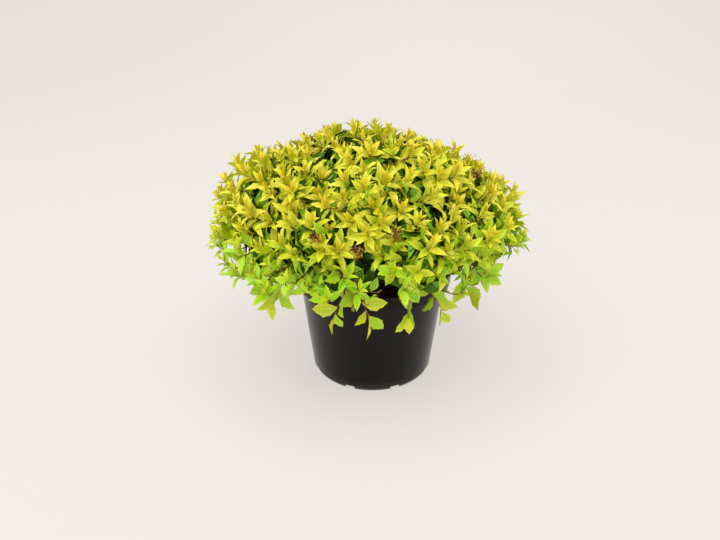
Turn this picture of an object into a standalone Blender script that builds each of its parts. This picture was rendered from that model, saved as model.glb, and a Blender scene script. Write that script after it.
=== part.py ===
"""A golden spirea in a round plastic nursery pot.

The pot, its filling of compost, the woody stool that the shrub springs from, one cane
for each mass of foliage, and the masses themselves. Metres, Z up. The origin is the
centre of the pot's flat underside.
"""

import math

import bmesh
import bpy
from mathutils import Matrix, Vector

# Pot, a 3 litre container 190 mm across its rim
POT_RIM_RADIUS = 0.095
POT_HEIGHT = 0.140
POT_BAND_FOOT = 0.1196
POT_WALL_TOP_RADIUS = 0.0869
POT_FOOT_RADIUS = 0.0730
POT_UNDERSIDE_RADIUS = 0.0705
POT_FOOT_CHAMFER = 0.0040
POT_WALL = 0.0020
POT_FLOOR = 0.0025
POT_BAND_DRAFT = 0.0008
POT_STEP_HEIGHT = 0.0012
POT_LIP_ROUND = 0.0012
POT_STEPS = 32

# Drainage slots through the corner of floor and wall
SLOT_COUNT = 8
SLOT_WIDTH = 0.013
SLOT_DEPTH = 0.018
SLOT_HEIGHT = 0.0060
SLOT_CENTRE_RADIUS = 0.0715

# Compost
SOIL_EDGE_HEIGHT = 0.1165
SOIL_CENTRE_HEIGHT = 0.1200
SOIL_FLAT_RADIUS = 0.024
SOIL_STEPS = 24

# Woody stool
STOOL_RADIUS = 0.0150
STOOL_FLARE = 0.0040
STOOL_SEGMENTS = 16
STOOL_RINGS = 5

# Crown: the rounded outline that the leaf tips reach
CROWN_CENTRE = Vector((-0.004, 0.0, 0.182))
CROWN_RADIUS = 0.184
CROWN_RISE = 0.119
CROWN_DROP = 0.075
CANE_SHARE = 0.50
CORE_SHARE_IN = 0.58
CORE_SHARE_OUT = 0.76
CORE_SHARE_MID = (CORE_SHARE_IN + CORE_SHARE_OUT) / 2

# Rings of foliage: name, masses, height angle on the crown, turn of the first mass, shoots a mass
RINGS = (
    ("top", 1, 90.0, 33.0, 6),
    ("upper", 5, 54.0, 55.0, 5),
    ("middle", 8, 23.0, 66.0, 5),
    ("skirt", 9, -10.0, 55.0, 4),
)
MASS_WANDER = 4.5
CELL_ANGLE_LIMIT = 28.0
CORE_FILL = 0.94
CORE_FULLNESS = 0.75

# Canes
CANE_FOOT_ANGLES = {"top": 90.0, "upper": 66.0, "middle": 46.0, "skirt": 27.0}
CANE_FOOT_RADIUS = 0.0019
CANE_TIP_RADIUS = 0.0013
CANE_POINTS = 5
STEM_RADIUS = 0.0014

# Shoots and leaves
SHOOT_SPREAD = 0.88
SHOOT_FOOT_SPREAD = 0.60
SHOOT_RADIUS = 0.0021
SHOOT_TIP_RADIUS = 0.0015
SHOOT_LEAN_ABOVE = 0.55
SHOOT_LEAN_BELOW = 0.35
SHOOT_WANDER = 0.12
TIP_WANDER = 0.035
TIP_SETBACK = 0.62
GOLDEN_ANGLE = math.radians(137.508)
LEAF_LENGTH = 0.048
LEAF_WIDTH = 0.0215
LEAF_THICKNESS = 0.0011
LEAVES_PER_SHOOT = 4
LEAF_SINK = 0.0008
LEAF_SIZES = (1.0, 0.9, 0.8, 0.7, 0.6)
ROSETTE_FOOT = 0.76
ROSETTE_TIP = 0.97
SPREAD_FOOT = 70.0
SPREAD_TIP = 24.0
LEAF_WIDEST = 0.40
LEAF_ARCH = 0.05
LEAF_DROOP = 0.13
LEAF_FOLD = 0.10
LEAF_TAPER = 0.22

# Trailing shoots of the skirt
TRAILERS_PER_MASS = 2
TRAILER_LENGTH = 0.033
TRAILER_SPREAD = 30.0
TRAILER_OUTWARD = 0.80
TRAILER_RADIUS = 0.0017
TRAILER_TIP_RADIUS = 0.0012
TRAILER_SIDE_LEAVES = 2
TRAILER_LEAF_LENGTH = 0.032
TRAILER_LEAF_WIDTH = 0.0185

# Spent flower heads
HEAD_MASSES = ("upper_2", "upper_4", "middle_1", "middle_4", "middle_6", "skirt_5")
HEAD_RADIUS = 0.0080
HEAD_HEIGHT = 0.0055
STALK_LENGTH = 0.020
STALK_RADIUS = 0.0012

GAP = 0.0003
CELL_MARGIN = 0.0005
CANE_CLEARANCE_SHARE = 0.03
POT_CLEARANCE = 0.0015
UP = Vector((0.0, 0.0, 1.0))

MATERIALS = {
    "pot_plastic": ((0.020, 0.019, 0.018), 0.42),
    "compost": ((0.050, 0.026, 0.014), 0.95),
    "bark": ((0.130, 0.055, 0.028), 0.75),
    "golden_leaf": ((0.500, 0.520, 0.030), 0.50),
    "lime_leaf": ((0.260, 0.430, 0.020), 0.50),
}


# Setting up

def clear_scene():
    for obj in list(bpy.data.objects):
        bpy.data.objects.remove(obj, do_unlink=True)


def new_collection(name, hidden=False):
    collection = bpy.data.collections.new(name)
    bpy.context.scene.collection.children.link(collection)
    collection.hide_render = hidden
    return collection


def material(name):
    found = bpy.data.materials.get(name)
    if found:
        return found
    colour, roughness = MATERIALS[name]
    made = bpy.data.materials.new(name)
    made.use_nodes = True
    shader = made.node_tree.nodes["Principled BSDF"]
    shader.inputs["Base Color"].default_value = (*colour, 1.0)
    shader.inputs["Roughness"].default_value = roughness
    shader.inputs["Metallic"].default_value = 0.0
    made.diffuse_color = (*colour, 1.0)
    return made


def add_object(name, mesh, collection, finish=None):
    obj = bpy.data.objects.new(name, mesh)
    collection.objects.link(obj)
    if finish:
        mesh.materials.clear()
        mesh.materials.append(material(finish))
    return obj


def mesh_from(name, bm):
    """The finished mesh of a closed solid, with its faces turned outwards."""
    bmesh.ops.recalc_face_normals(bm, faces=bm.faces)
    if bm.calc_volume(signed=True) < 0:
        bmesh.ops.reverse_faces(bm, faces=bm.faces)
    mesh = bpy.data.meshes.new(name)
    bm.to_mesh(mesh)
    bm.free()
    return mesh


def evaluated_mesh(obj):
    """The object's mesh with its modifiers applied, as new data."""
    graph = bpy.context.evaluated_depsgraph_get()
    return bpy.data.meshes.new_from_object(obj.evaluated_get(graph), depsgraph=graph)


def turned(name, profile, steps, collection, finish):
    """A solid of revolution about Z. The profile runs from the axis over the top and down the outer side."""
    mesh = bpy.data.meshes.new(name)
    points = [(r, 0.0, z) for r, z in profile]
    mesh.from_pydata(points, [(i, i + 1) for i in range(len(points) - 1)], [])
    obj = add_object(name, mesh, collection, finish)
    screw = obj.modifiers.new("turn", "SCREW")
    screw.steps = steps
    screw.render_steps = steps
    screw.use_merge_vertices = True
    screw.merge_threshold = 0.00001
    screw.use_normal_calculate = True
    return obj


def wander(key, salt):
    """A repeatable number from -1 to 1 for a whole number key: the seeded part of the growing rule."""
    wave = math.sin(key * 127.1 + salt * 311.7) * 43758.5453
    return 2.0 * (wave - math.floor(wave)) - 1.0


# The pot

def pot_profile():
    """The pot's wall in section: floor, inside, rolled lip, band, step, outside, chamfered foot."""
    lip_out = POT_RIM_RADIUS
    band_out = POT_RIM_RADIUS - POT_BAND_DRAFT
    step_in = POT_BAND_FOOT - POT_STEP_HEIGHT
    ledge = POT_BAND_FOOT + POT_WALL
    slope = (POT_WALL_TOP_RADIUS - POT_FOOT_RADIUS) / (step_in - POT_FOOT_CHAMFER)
    inner_floor_radius = POT_FOOT_RADIUS - POT_WALL
    inner_ledge_radius = inner_floor_radius + slope * (ledge - POT_STEP_HEIGHT - POT_FLOOR)
    return [
        (0.0, POT_FLOOR),
        (inner_floor_radius, POT_FLOOR),
        (inner_ledge_radius, ledge - POT_STEP_HEIGHT),
        (band_out - POT_WALL, ledge),
        (lip_out - POT_WALL, POT_HEIGHT),
        (lip_out - POT_LIP_ROUND, POT_HEIGHT),
        (lip_out, POT_HEIGHT - POT_LIP_ROUND),
        (band_out, POT_BAND_FOOT),
        (POT_WALL_TOP_RADIUS, step_in),
        (POT_FOOT_RADIUS, POT_FOOT_CHAMFER),
        (POT_UNDERSIDE_RADIUS, 0.0),
        (0.0, 0.0),
    ]


def inner_wall_radius(height):
    """The inside radius of the pot's wall below the step."""
    profile = pot_profile()
    (r0, z0), (r1, z1) = profile[1], profile[2]
    return r0 + (r1 - r0) * (height - z0) / (z1 - z0)


def make_pot(collection, cutters):
    pot = turned("pot", pot_profile(), POT_STEPS, collection, "pot_plastic")
    for i in range(SLOT_COUNT):
        bm = bmesh.new()
        bmesh.ops.create_cube(bm, size=1.0)
        bmesh.ops.scale(bm, vec=(SLOT_DEPTH, SLOT_WIDTH, 2 * SLOT_HEIGHT), verts=bm.verts)
        bmesh.ops.translate(bm, vec=(SLOT_CENTRE_RADIUS, 0.0, 0.0), verts=bm.verts)
        slot = add_object(f"drain_slot_{i + 1}", mesh_from("drain_slot", bm), cutters)
        slot.rotation_euler.z = math.tau * (i + 0.5) / SLOT_COUNT
        slot.hide_render = True
        slot.display_type = "WIRE"
    cut = pot.modifiers.new("drainage", "BOOLEAN")
    cut.operation = "DIFFERENCE"
    cut.operand_type = "COLLECTION"
    cut.collection = cutters
    cut.solver = "EXACT"


def make_soil(collection):
    """The compost fills the pot, 0.3 mm clear of floor and wall, and rises a little to the stool."""
    foot = POT_FLOOR + GAP
    mid = (SOIL_EDGE_HEIGHT + SOIL_CENTRE_HEIGHT) / 2
    edge = inner_wall_radius(SOIL_EDGE_HEIGHT) - 2 * GAP
    profile = [
        (0.0, SOIL_CENTRE_HEIGHT),
        (SOIL_FLAT_RADIUS, SOIL_CENTRE_HEIGHT),
        ((SOIL_FLAT_RADIUS + edge) / 2, mid + 0.0005),
        (edge, SOIL_EDGE_HEIGHT),
        (inner_wall_radius(foot) - 2 * GAP, foot),
        (0.0, foot),
    ]
    turned("potting_compost", profile, SOIL_STEPS, collection, "compost")


def make_stool(collection):
    """The short woody base: a dome with a flare at its foot, cut flat where it meets the compost."""
    bm = bmesh.new()
    bmesh.ops.create_uvsphere(
        bm, u_segments=STOOL_SEGMENTS, v_segments=2 * STOOL_RINGS, radius=STOOL_RADIUS
    )
    below = [v for v in bm.verts if v.co.z < -1e-6]
    bmesh.ops.delete(bm, geom=below, context="VERTS")
    rim = [e for e in bm.edges if e.is_boundary]
    bmesh.ops.contextual_create(bm, geom=rim)
    for v in bm.verts:
        height = v.co.z / STOOL_RADIUS
        if height < 0.01:
            angle = math.atan2(v.co.y, v.co.x)
            flare = STOOL_FLARE * (0.6 + 0.4 * math.cos(5 * angle))
            v.co.x += flare * math.cos(angle)
            v.co.y += flare * math.sin(angle)
    bmesh.ops.translate(bm, vec=(0.0, 0.0, SOIL_CENTRE_HEIGHT + GAP), verts=bm.verts)
    add_object("stem_base", mesh_from("stem_base", bm), collection, "bark")


# The crown's own measure

def crown_direction(height_angle, turn):
    """The unit direction on the crown at a height angle and a turn about the axis, both in radians."""
    level = math.cos(height_angle)
    return Vector((level * math.cos(turn), level * math.sin(turn), math.sin(height_angle)))


def crown_point(direction, share=1.0):
    """The point in that direction on the crown's outline, or at that share of the way out to it."""
    tall = CROWN_RISE if direction.z >= 0 else CROWN_DROP
    return CROWN_CENTRE + share * Vector(
        (CROWN_RADIUS * direction.x, CROWN_RADIUS * direction.y, tall * direction.z)
    )


def crown_normal(direction):
    tall = CROWN_RISE if direction.z >= 0 else CROWN_DROP
    across = Vector((direction.x / CROWN_RADIUS, direction.y / CROWN_RADIUS, direction.z / tall))
    return across.normalized()


def across_pair(direction):
    """Two unit vectors at right angles to the direction and to each other."""
    side = direction.cross(UP)
    if side.length < 1e-3:
        side = Vector((1.0, 0.0, 0.0))
    side.normalize()
    return side, direction.cross(side).normalized()


class Mass:
    """One mass of foliage: its ring, its place in the ring, and the direction of its middle."""

    def __init__(self, ring, place, count, height_angle, first_turn, shoots, number):
        self.name = ring if count == 1 else f"{ring}_{place + 1}"
        self.ring = ring
        self.number = number
        self.shoots = shoots
        loose = 0.0 if count == 1 else MASS_WANDER
        rise = math.radians(height_angle + loose * wander(number, 1))
        turn = math.tau * place / count + math.radians(first_turn)
        turn += math.radians(loose * wander(number, 2)) / max(0.4, math.cos(rise))
        self.turn = turn
        self.foot_angle = math.radians(CANE_FOOT_ANGLES[ring])
        self.middle = crown_direction(rise, turn)
        self.side, self.over = across_pair(self.middle)
        self.others = []
        self.walls = []

    def bound(self, masses):
        """The flat walls that part this mass's space from each other mass's, all through the crown's centre."""
        self.others = [mass.middle for mass in masses if mass is not self]
        for other in self.others:
            apart = self.middle - other
            wall = Vector((apart.x / CROWN_RADIUS, apart.y / CROWN_RADIUS, apart.z / CROWN_RISE))
            self.walls.append(wall.normalized())

    def reach(self, psi):
        """The angle from this mass's middle to its wall, going the way psi, and at most the limit."""
        way = math.cos(psi) * self.side + math.sin(psi) * self.over
        least = math.radians(CELL_ANGLE_LIMIT)
        for other in self.others:
            along = way.dot(other)
            if along > 1e-6:
                least = min(least, math.atan2(1.0 - self.middle.dot(other), along))
        return least

    def direction(self, psi, theta):
        way = math.cos(psi) * self.side + math.sin(psi) * self.over
        return math.cos(theta) * self.middle + math.sin(theta) * way

    def holds(self, points):
        """True if every point lies in this mass's space: inside its walls, round the canes, clear of the pot."""
        for point in points:
            offset = point - CROWN_CENTRE
            if any(wall.dot(offset) < CELL_MARGIN for wall in self.walls):
                return False
            tall = CROWN_RISE if offset.z >= 0 else CROWN_DROP
            share = Vector((offset.x / CROWN_RADIUS, offset.y / CROWN_RADIUS, offset.z / tall)).length
            if share < CANE_SHARE + CANE_CLEARANCE_SHARE:
                return False
            from_axis = math.hypot(point.x, point.y)
            if point.z < POT_HEIGHT + POT_CLEARANCE and from_axis < POT_RIM_RADIUS + POT_CLEARANCE:
                return False
        return True


def make_masses():
    masses = []
    for ring, count, height_angle, first_turn, shoots in RINGS:
        for place in range(count):
            number = len(masses)
            masses.append(Mass(ring, place, count, height_angle, first_turn, shoots, number))
    for mass in masses:
        mass.bound(masses)
    return masses


# Canes

def cane_ends(mass):
    """The cane's foot on the stool and its tip, with the way it leaves each."""
    foot_way = crown_direction(mass.foot_angle, mass.turn)
    stool_centre = Vector((0.0, 0.0, SOIL_CENTRE_HEIGHT + GAP))
    foot = stool_centre + (STOOL_RADIUS + GAP) * foot_way
    tip = crown_point(mass.middle, CANE_SHARE)
    tip_way = (tip - CROWN_CENTRE).normalized()
    return foot, foot_way, tip, tip_way


def make_cane(mass, collection):
    """A cane leaves the stool square to its surface, arches, and points at the middle of its mass."""
    foot, foot_way, tip, tip_way = cane_ends(mass)
    span = (tip - foot).length
    guides = (foot, foot + 0.40 * span * foot_way, tip - 0.30 * span * tip_way, tip)
    curve = bpy.data.curves.new(f"cane_{mass.name}", "CURVE")
    curve.dimensions = "3D"
    curve.bevel_depth = 1.0
    curve.bevel_resolution = 1
    curve.use_fill_caps = True
    spline = curve.splines.new("POLY")
    spline.points.add(CANE_POINTS - 1)
    for i, point in enumerate(spline.points):
        t = i / (CANE_POINTS - 1)
        weights = ((1 - t) ** 3, 3 * t * (1 - t) ** 2, 3 * t * t * (1 - t), t**3)
        place = sum((w * g for w, g in zip(weights, guides)), Vector())
        point.co = (*place, 1.0)
        point.radius = CANE_FOOT_RADIUS + (CANE_TIP_RADIUS - CANE_FOOT_RADIUS) * t
    add_object(f"cane_{mass.name}", curve, collection, "bark")


# Twigs, leaves and spent flower heads, each a small closed solid

def placed(bm, along, normal, origin):
    """Turns a mesh built along +X with its upper side on +Z to lie along a way, and moves it."""
    along = along.normalized()
    across = normal.cross(along).normalized()
    lift = along.cross(across)
    turn = Matrix((along, across, lift)).transposed().to_4x4()
    bmesh.ops.transform(bm, matrix=Matrix.Translation(origin) @ turn, verts=bm.verts)


def twig(start, end, radius_start, radius_end, sides=3):
    bm = bmesh.new()
    length = (end - start).length
    bmesh.ops.create_cone(
        bm,
        cap_ends=True,
        segments=sides,
        radius1=radius_start,
        radius2=radius_end,
        depth=length,
    )
    bmesh.ops.translate(bm, vec=(0.0, 0.0, length / 2), verts=bm.verts)
    turn = (end - start).to_track_quat("Z", "X").to_matrix().to_4x4()
    bmesh.ops.transform(bm, matrix=Matrix.Translation(start) @ turn, verts=bm.verts)
    return bm


def leaf(origin, along, normal, length, width):
    """A folded, arching leaf of eight faces: an octahedron with its corners moved to the leaf's own."""
    bm = bmesh.new()
    bmesh.ops.create_uvsphere(bm, u_segments=4, v_segments=2, radius=1.0)
    arch = LEAF_ARCH * length
    for v in bm.verts:
        if abs(v.co.z) > 0.5:
            v.co = (0.0, 0.0, 0.0) if v.co.z < 0 else (length, 0.0, -LEAF_DROOP * length)
        elif abs(v.co.x) > 0.5:
            side = math.copysign(width / 2, v.co.x)
            v.co = (LEAF_WIDEST * length, side, arch + LEAF_FOLD * width)
        else:
            lift = arch if v.co.y < 0 else arch - LEAF_THICKNESS
            v.co = (LEAF_WIDEST * length, 0.0, lift)
    placed(bm, along, normal, origin)
    return bm


def flower_head(centre, way):
    """A spent, flat-topped cluster: a low dome of few faces."""
    bm = bmesh.new()
    bmesh.ops.create_uvsphere(bm, u_segments=6, v_segments=4, radius=1.0)
    bmesh.ops.scale(bm, vec=(HEAD_HEIGHT, HEAD_RADIUS, HEAD_RADIUS), verts=bm.verts)
    placed(bm, way, across_pair(way)[0], centre)
    return bm


def points_of(bm):
    return [v.co.copy() for v in bm.verts]


def core(mass):
    """The dense heart of a mass: a sphere whose rings are drawn out to near the walls of the mass's space."""
    bm = bmesh.new()
    bmesh.ops.create_uvsphere(bm, u_segments=10, v_segments=4, radius=1.0)
    for v in bm.verts:
        psi = math.atan2(v.co.y, v.co.x)
        width = math.hypot(v.co.x, v.co.y)
        theta = 0.0 if width < 1e-6 else CORE_FILL * mass.reach(psi) * width**CORE_FULLNESS
        depth = math.copysign(abs(v.co.z) ** CORE_FULLNESS, v.co.z)
        share = CORE_SHARE_MID + depth * (CORE_SHARE_OUT - CORE_SHARE_IN) / 2
        v.co = crown_point(mass.direction(psi, theta), share)
    return bm


# The growing rule

def growing_way(direction, lean):
    """Shoots grow square to the crown's outline and turn up towards the light."""
    return (crown_normal(direction) + lean * UP).normalized()


def shoot_ends(mass, k):
    """Start and tip of shoot k of a mass. Shoots are set out round the middle by the golden angle."""
    psi = GOLDEN_ANGLE * k + mass.number
    out = math.sqrt((k + 0.6) / mass.shoots)
    theta = SHOOT_SPREAD * mass.reach(psi) * out
    direction = mass.direction(psi, theta)
    key = 100 * mass.number + k
    lean = SHOOT_LEAN_ABOVE if direction.z > 0 else SHOOT_LEAN_BELOW
    way = growing_way(direction, lean)
    way += SHOOT_WANDER * Vector((wander(key, 3), wander(key, 4), wander(key, 5)))
    way.normalize()
    outline = crown_point(direction, 1.0 + TIP_WANDER * wander(key, 6))
    tip = outline - TIP_SETBACK * LEAF_LENGTH * way
    start = crown_point(mass.direction(psi, SHOOT_FOOT_SPREAD * theta), CORE_SHARE_MID)
    return start, tip, way, key


def leaf_ways(way, share, turn, loose):
    """Along and normal of a leaf at that share of the rosette: spread wide at its foot, steep at its tip."""
    side, over = across_pair(way)
    out = math.cos(turn) * side + math.sin(turn) * over
    spread = math.radians(SPREAD_FOOT + (SPREAD_TIP - SPREAD_FOOT) * share**2 + 6 * loose)
    along = math.cos(spread) * way + math.sin(spread) * out
    normal = math.sin(spread) * way - math.cos(spread) * out
    return along, normal


def try_leaf(mass, pieces, root, along, normal, length, width):
    """Adds the leaf at full size, or smaller if that is what fits the mass's space. Skips it otherwise."""
    for size in LEAF_SIZES:
        bm = leaf(root - LEAF_SINK * along, along, normal, size * length, size * width)
        if mass.holds(points_of(bm)):
            pieces.append(bm)
            return
        bm.free()


def grow_shoot(mass, k, pieces):
    """A shoot of the mass with its leaves, and a spent flower head beside it where there is one."""
    start, tip, way, key = shoot_ends(mass, k)
    stem = twig(start, tip, SHOOT_RADIUS, SHOOT_TIP_RADIUS)
    if not mass.holds(points_of(stem)):
        stem.free()
        return
    pieces.append(stem)
    axis = (tip - start).normalized()
    for j in range(LEAVES_PER_SHOOT):
        share = j / (LEAVES_PER_SHOOT - 1)
        along, normal = leaf_ways(way, share, GOLDEN_ANGLE * j + key, wander(key + j, 7))
        root = start.lerp(tip, ROSETTE_FOOT + (ROSETTE_TIP - ROSETTE_FOOT) * share)
        size = 1.0 - LEAF_TAPER * share
        try_leaf(mass, pieces, root, along, normal, size * LEAF_LENGTH, size * LEAF_WIDTH)
    if mass.name in HEAD_MASSES and k == 1:
        grow_head(mass, start.lerp(tip, 0.5), axis, pieces)


def grow_head(mass, root, axis, pieces):
    """A spent flower head on its stalk, leaning away from the shoot that carries it."""
    side = across_pair(axis)[0]
    way = (axis + 0.7 * side).normalized()
    centre = root + STALK_LENGTH * way
    stalk = twig(root, centre, STALK_RADIUS, STALK_RADIUS)
    head = flower_head(centre, way)
    if mass.holds(points_of(stalk)) and mass.holds(points_of(head)):
        pieces.extend((stalk, head))
    else:
        stalk.free()
        head.free()


def grow_trailer(mass, k, pieces):
    """A lax shoot of the skirt: out of the core's lower side and down past the rim, with broad leaves."""
    key = 1000 + 10 * mass.number + k
    hand = 2 * k - 1
    psi = math.atan2(-mass.over.z, -mass.side.z)
    psi += hand * math.radians(TRAILER_SPREAD + 10 * wander(key, 1))
    direction = mass.direction(psi, 0.55 * mass.reach(psi))
    start = crown_point(direction, CORE_SHARE_MID)
    level = Vector((direction.x, direction.y, 0.0)).normalized()
    axis = ((TRAILER_OUTWARD + 0.15 * wander(key, 3)) * level - UP).normalized()
    tip = start + TRAILER_LENGTH * (1.0 + 0.15 * wander(key, 2)) * axis
    stem = twig(start, tip, TRAILER_RADIUS, TRAILER_TIP_RADIUS)
    if not mass.holds(points_of(stem)):
        stem.free()
        return
    pieces.append(stem)
    side = axis.cross(UP).normalized()
    for j in range(TRAILER_SIDE_LEAVES + 1):
        last = j == TRAILER_SIDE_LEAVES
        spread = math.radians(8 if last else 60)
        along = math.cos(spread) * axis + (-1) ** j * math.sin(spread) * side
        normal = (UP - UP.dot(along) * along).normalized()
        root = start.lerp(tip, 0.97 if last else 0.62 + 0.16 * j)
        try_leaf(mass, pieces, root, along, normal, TRAILER_LEAF_LENGTH, TRAILER_LEAF_WIDTH)


def stem_piece(mass):
    """The mass's stem: from 0.3 mm off the cane's tip into the core."""
    _, _, tip, tip_way = cane_ends(mass)
    start = tip + GAP * tip_way
    end = crown_point(mass.middle, CORE_SHARE_MID)
    return twig(start, end, STEM_RADIUS, STEM_RADIUS, sides=6)


# Fusing a mass into one solid

def keep_largest_skin(mesh):
    """Drops sealed hollows and loose scraps, which leaves the outer skin."""
    bm = bmesh.new()
    bm.from_mesh(mesh)
    unseen = set(bm.faces)
    skins = []
    while unseen:
        queue = [unseen.pop()]
        skin = list(queue)
        while queue:
            face = queue.pop()
            for edge in face.edges:
                for near in edge.link_faces:
                    if near in unseen:
                        unseen.discard(near)
                        queue.append(near)
                        skin.append(near)
        skins.append(skin)
    skins.sort(key=len)
    for skin in skins[:-1]:
        bmesh.ops.delete(bm, geom=skin, context="FACES")
    bmesh.ops.triangulate(bm, faces=bm.faces)
    bm.to_mesh(mesh)
    bm.free()


def fuse(mass, pieces, collection):
    name = f"foliage_{mass.name}"
    finish = "lime_leaf" if mass.ring == "skirt" else "golden_leaf"
    joined = new_collection(f"{name}_pieces")
    for i, bm in enumerate(pieces[1:]):
        add_object(f"{name}_piece_{i}", mesh_from("piece", bm), joined)
    obj = add_object(name, mesh_from(name, pieces[0]), collection)
    union = obj.modifiers.new("fuse", "BOOLEAN")
    union.operation = "UNION"
    union.operand_type = "COLLECTION"
    union.collection = joined
    union.solver = "MANIFOLD"
    mesh = evaluated_mesh(obj)
    obj.modifiers.clear()
    obj.data = mesh
    keep_largest_skin(mesh)
    mesh.materials.clear()
    mesh.materials.append(material(finish))
    for piece in list(joined.objects):
        bpy.data.objects.remove(piece, do_unlink=True)
    bpy.data.collections.remove(joined)


def make_foliage(mass, collection):
    pieces = [core(mass), stem_piece(mass)]
    for k in range(mass.shoots):
        grow_shoot(mass, k, pieces)
    if mass.ring == "skirt":
        for k in range(TRAILERS_PER_MASS):
            grow_trailer(mass, k, pieces)
    fuse(mass, pieces, collection)


def main():
    clear_scene()
    plant = new_collection("golden_spirea")
    cutters = new_collection("pot_cutters", hidden=True)
    make_pot(plant, cutters)
    make_soil(plant)
    make_stool(plant)
    for mass in make_masses():
        make_cane(mass, plant)
        make_foliage(mass, plant)


main()
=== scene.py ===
"""The looks of a golden spirea in a black nursery pot.

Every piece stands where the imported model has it. The crown grows by the same rule as the
model's solids, carried on to finer shoots with leaves of life size.
"""

import math

import bpy
import numpy as np
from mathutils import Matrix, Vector


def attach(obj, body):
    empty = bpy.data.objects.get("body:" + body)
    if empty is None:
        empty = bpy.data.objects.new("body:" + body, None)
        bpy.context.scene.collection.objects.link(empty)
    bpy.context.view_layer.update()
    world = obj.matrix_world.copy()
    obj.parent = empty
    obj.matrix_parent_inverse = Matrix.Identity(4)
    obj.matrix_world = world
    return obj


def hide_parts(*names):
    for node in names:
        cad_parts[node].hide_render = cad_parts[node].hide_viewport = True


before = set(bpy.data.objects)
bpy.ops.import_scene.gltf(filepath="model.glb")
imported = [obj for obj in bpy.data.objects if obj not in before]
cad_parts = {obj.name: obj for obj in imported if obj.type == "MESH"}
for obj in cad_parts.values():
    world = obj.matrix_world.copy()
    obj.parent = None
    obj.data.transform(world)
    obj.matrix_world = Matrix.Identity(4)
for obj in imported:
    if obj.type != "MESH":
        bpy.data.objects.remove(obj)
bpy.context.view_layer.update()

scene = bpy.context.scene

# Camera: the photograph's, solved from the pot's rim, band and foot.
# It looks level along +Y and 27 degrees down.
PHOTO_WIDTH = 720
FOCAL_PIXELS = 854.1
CAMERA_PLACE = (-0.015, -0.915, 0.5996)
CAMERA_PITCH = math.radians(27.35)

camera_data = bpy.data.cameras.new("camera")
camera_data.sensor_width = 36.0
camera_data.lens = FOCAL_PIXELS * camera_data.sensor_width / PHOTO_WIDTH
camera = bpy.data.objects.new("camera", camera_data)
camera.location = CAMERA_PLACE
camera.rotation_euler = (math.pi / 2 - CAMERA_PITCH, 0.0, 0.0)
scene.collection.objects.link(camera)
scene.camera = camera
scene.view_settings.view_transform = "Standard"


# Light: large soft boxes over the plant and before it, weaker ones at its sides and behind it,
# and a pale room.
WORLD_COLOUR = (1.0, 0.995, 0.985)
WORLD_STRENGTH = 0.50
LIGHT_AIM = (0.0, 0.0, 0.18)
SOFT_BOXES = (
    # name, place, width and height, watts
    ("over", (-0.22, -0.45, 2.1), 1.8, 28.0),
    ("front", (-0.45, -1.95, 1.15), 1.5, 13.5),
    ("left", (-1.75, -0.25, 0.95), 1.5, 6.0),
    ("right", (1.75, -0.10, 0.95), 1.5, 7.0),
    ("back", (0.30, 1.95, 1.15), 1.5, 8.0),
)

world = bpy.data.worlds.new("room")
world.use_nodes = True
world.node_tree.nodes["Background"].inputs["Color"].default_value = (*WORLD_COLOUR, 1.0)
world.node_tree.nodes["Background"].inputs["Strength"].default_value = WORLD_STRENGTH
scene.world = world
for name, place, size, watts in SOFT_BOXES:
    light = bpy.data.lights.new(f"soft_box_{name}", "AREA")
    light.shape = "SQUARE"
    light.size = size
    light.energy = watts
    lamp = bpy.data.objects.new(f"soft_box_{name}", light)
    lamp.location = place
    lamp.rotation_euler = (Vector(LIGHT_AIM) - Vector(place)).to_track_quat("-Z", "Y").to_euler()
    scene.collection.objects.link(lamp)


# Backdrop: pale paper on the floor that curves up into a wall all round, softly lit from behind.
# It isn't part of the object.
PAPER_FLOOR_RADIUS = 1.7
PAPER_BEND_RADIUS = 1.6
PAPER_TOP = 2.9
PAPER_SEGMENTS = 96
PAPER_BEND_STEPS = 25
PAPER_FLAT_RINGS = (0.6, 1.4)
PAPER_COLOUR = (0.250, 0.238, 0.226)
PAPER_GLOW = (0.550, 0.522, 0.492)


def plain_material(name, colour, roughness, specular=0.5):
    """A material of one colour and one roughness."""
    made = bpy.data.materials.new(name)
    made.use_nodes = True
    shader = made.node_tree.nodes["Principled BSDF"]
    shader.inputs["Base Color"].default_value = (*colour, 1.0)
    shader.inputs["Roughness"].default_value = roughness
    shader.inputs["Specular IOR Level"].default_value = specular
    made.diffuse_color = (*colour, 1.0)
    return made


def mesh_object(name, points, faces, materials, face_materials=None, smooth=True):
    """An object at the origin from arrays of points and faces, with a material number for each face."""
    mesh = bpy.data.meshes.new(name)
    mesh.from_pydata(np.asarray(points).tolist(), [], faces if isinstance(faces, list) else faces.tolist())
    for material in materials:
        mesh.materials.append(material)
    if face_materials is not None:
        mesh.polygons.foreach_set("material_index", np.asarray(face_materials, dtype=np.int32))
    mesh.polygons.foreach_set("use_smooth", np.full(len(mesh.polygons), smooth))
    mesh.update()
    obj = bpy.data.objects.new(name, mesh)
    scene.collection.objects.link(obj)
    return obj


def full_turn(steps):
    """The angles of equal steps round a circle."""
    return np.arange(steps) * 2 * math.pi / steps


def rings(profile, segments):
    """A profile (radius, height) carried round Z: points (r cos a, r sin a, h), station by station."""
    turn = full_turn(segments)
    radius, height = profile[:, :1], np.repeat(profile[:, 1:], segments, axis=1)
    return np.stack([radius * np.cos(turn), radius * np.sin(turn), height], axis=2).reshape(-1, 3)


def wall_faces(rows, columns, flipped=False):
    """Faces between rings of points: (low i, high i, high j, low j) with j next to i, or turned round."""
    i, j = np.meshgrid(np.arange(rows - 1) * columns, np.arange(columns), indexing="ij")
    k = (j + 1) % columns
    faces = np.stack([i + j, i + columns + j, i + columns + k, i + k], axis=-1).reshape(-1, 4)
    return faces[:, [0, 3, 2, 1]] if flipped else faces


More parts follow.
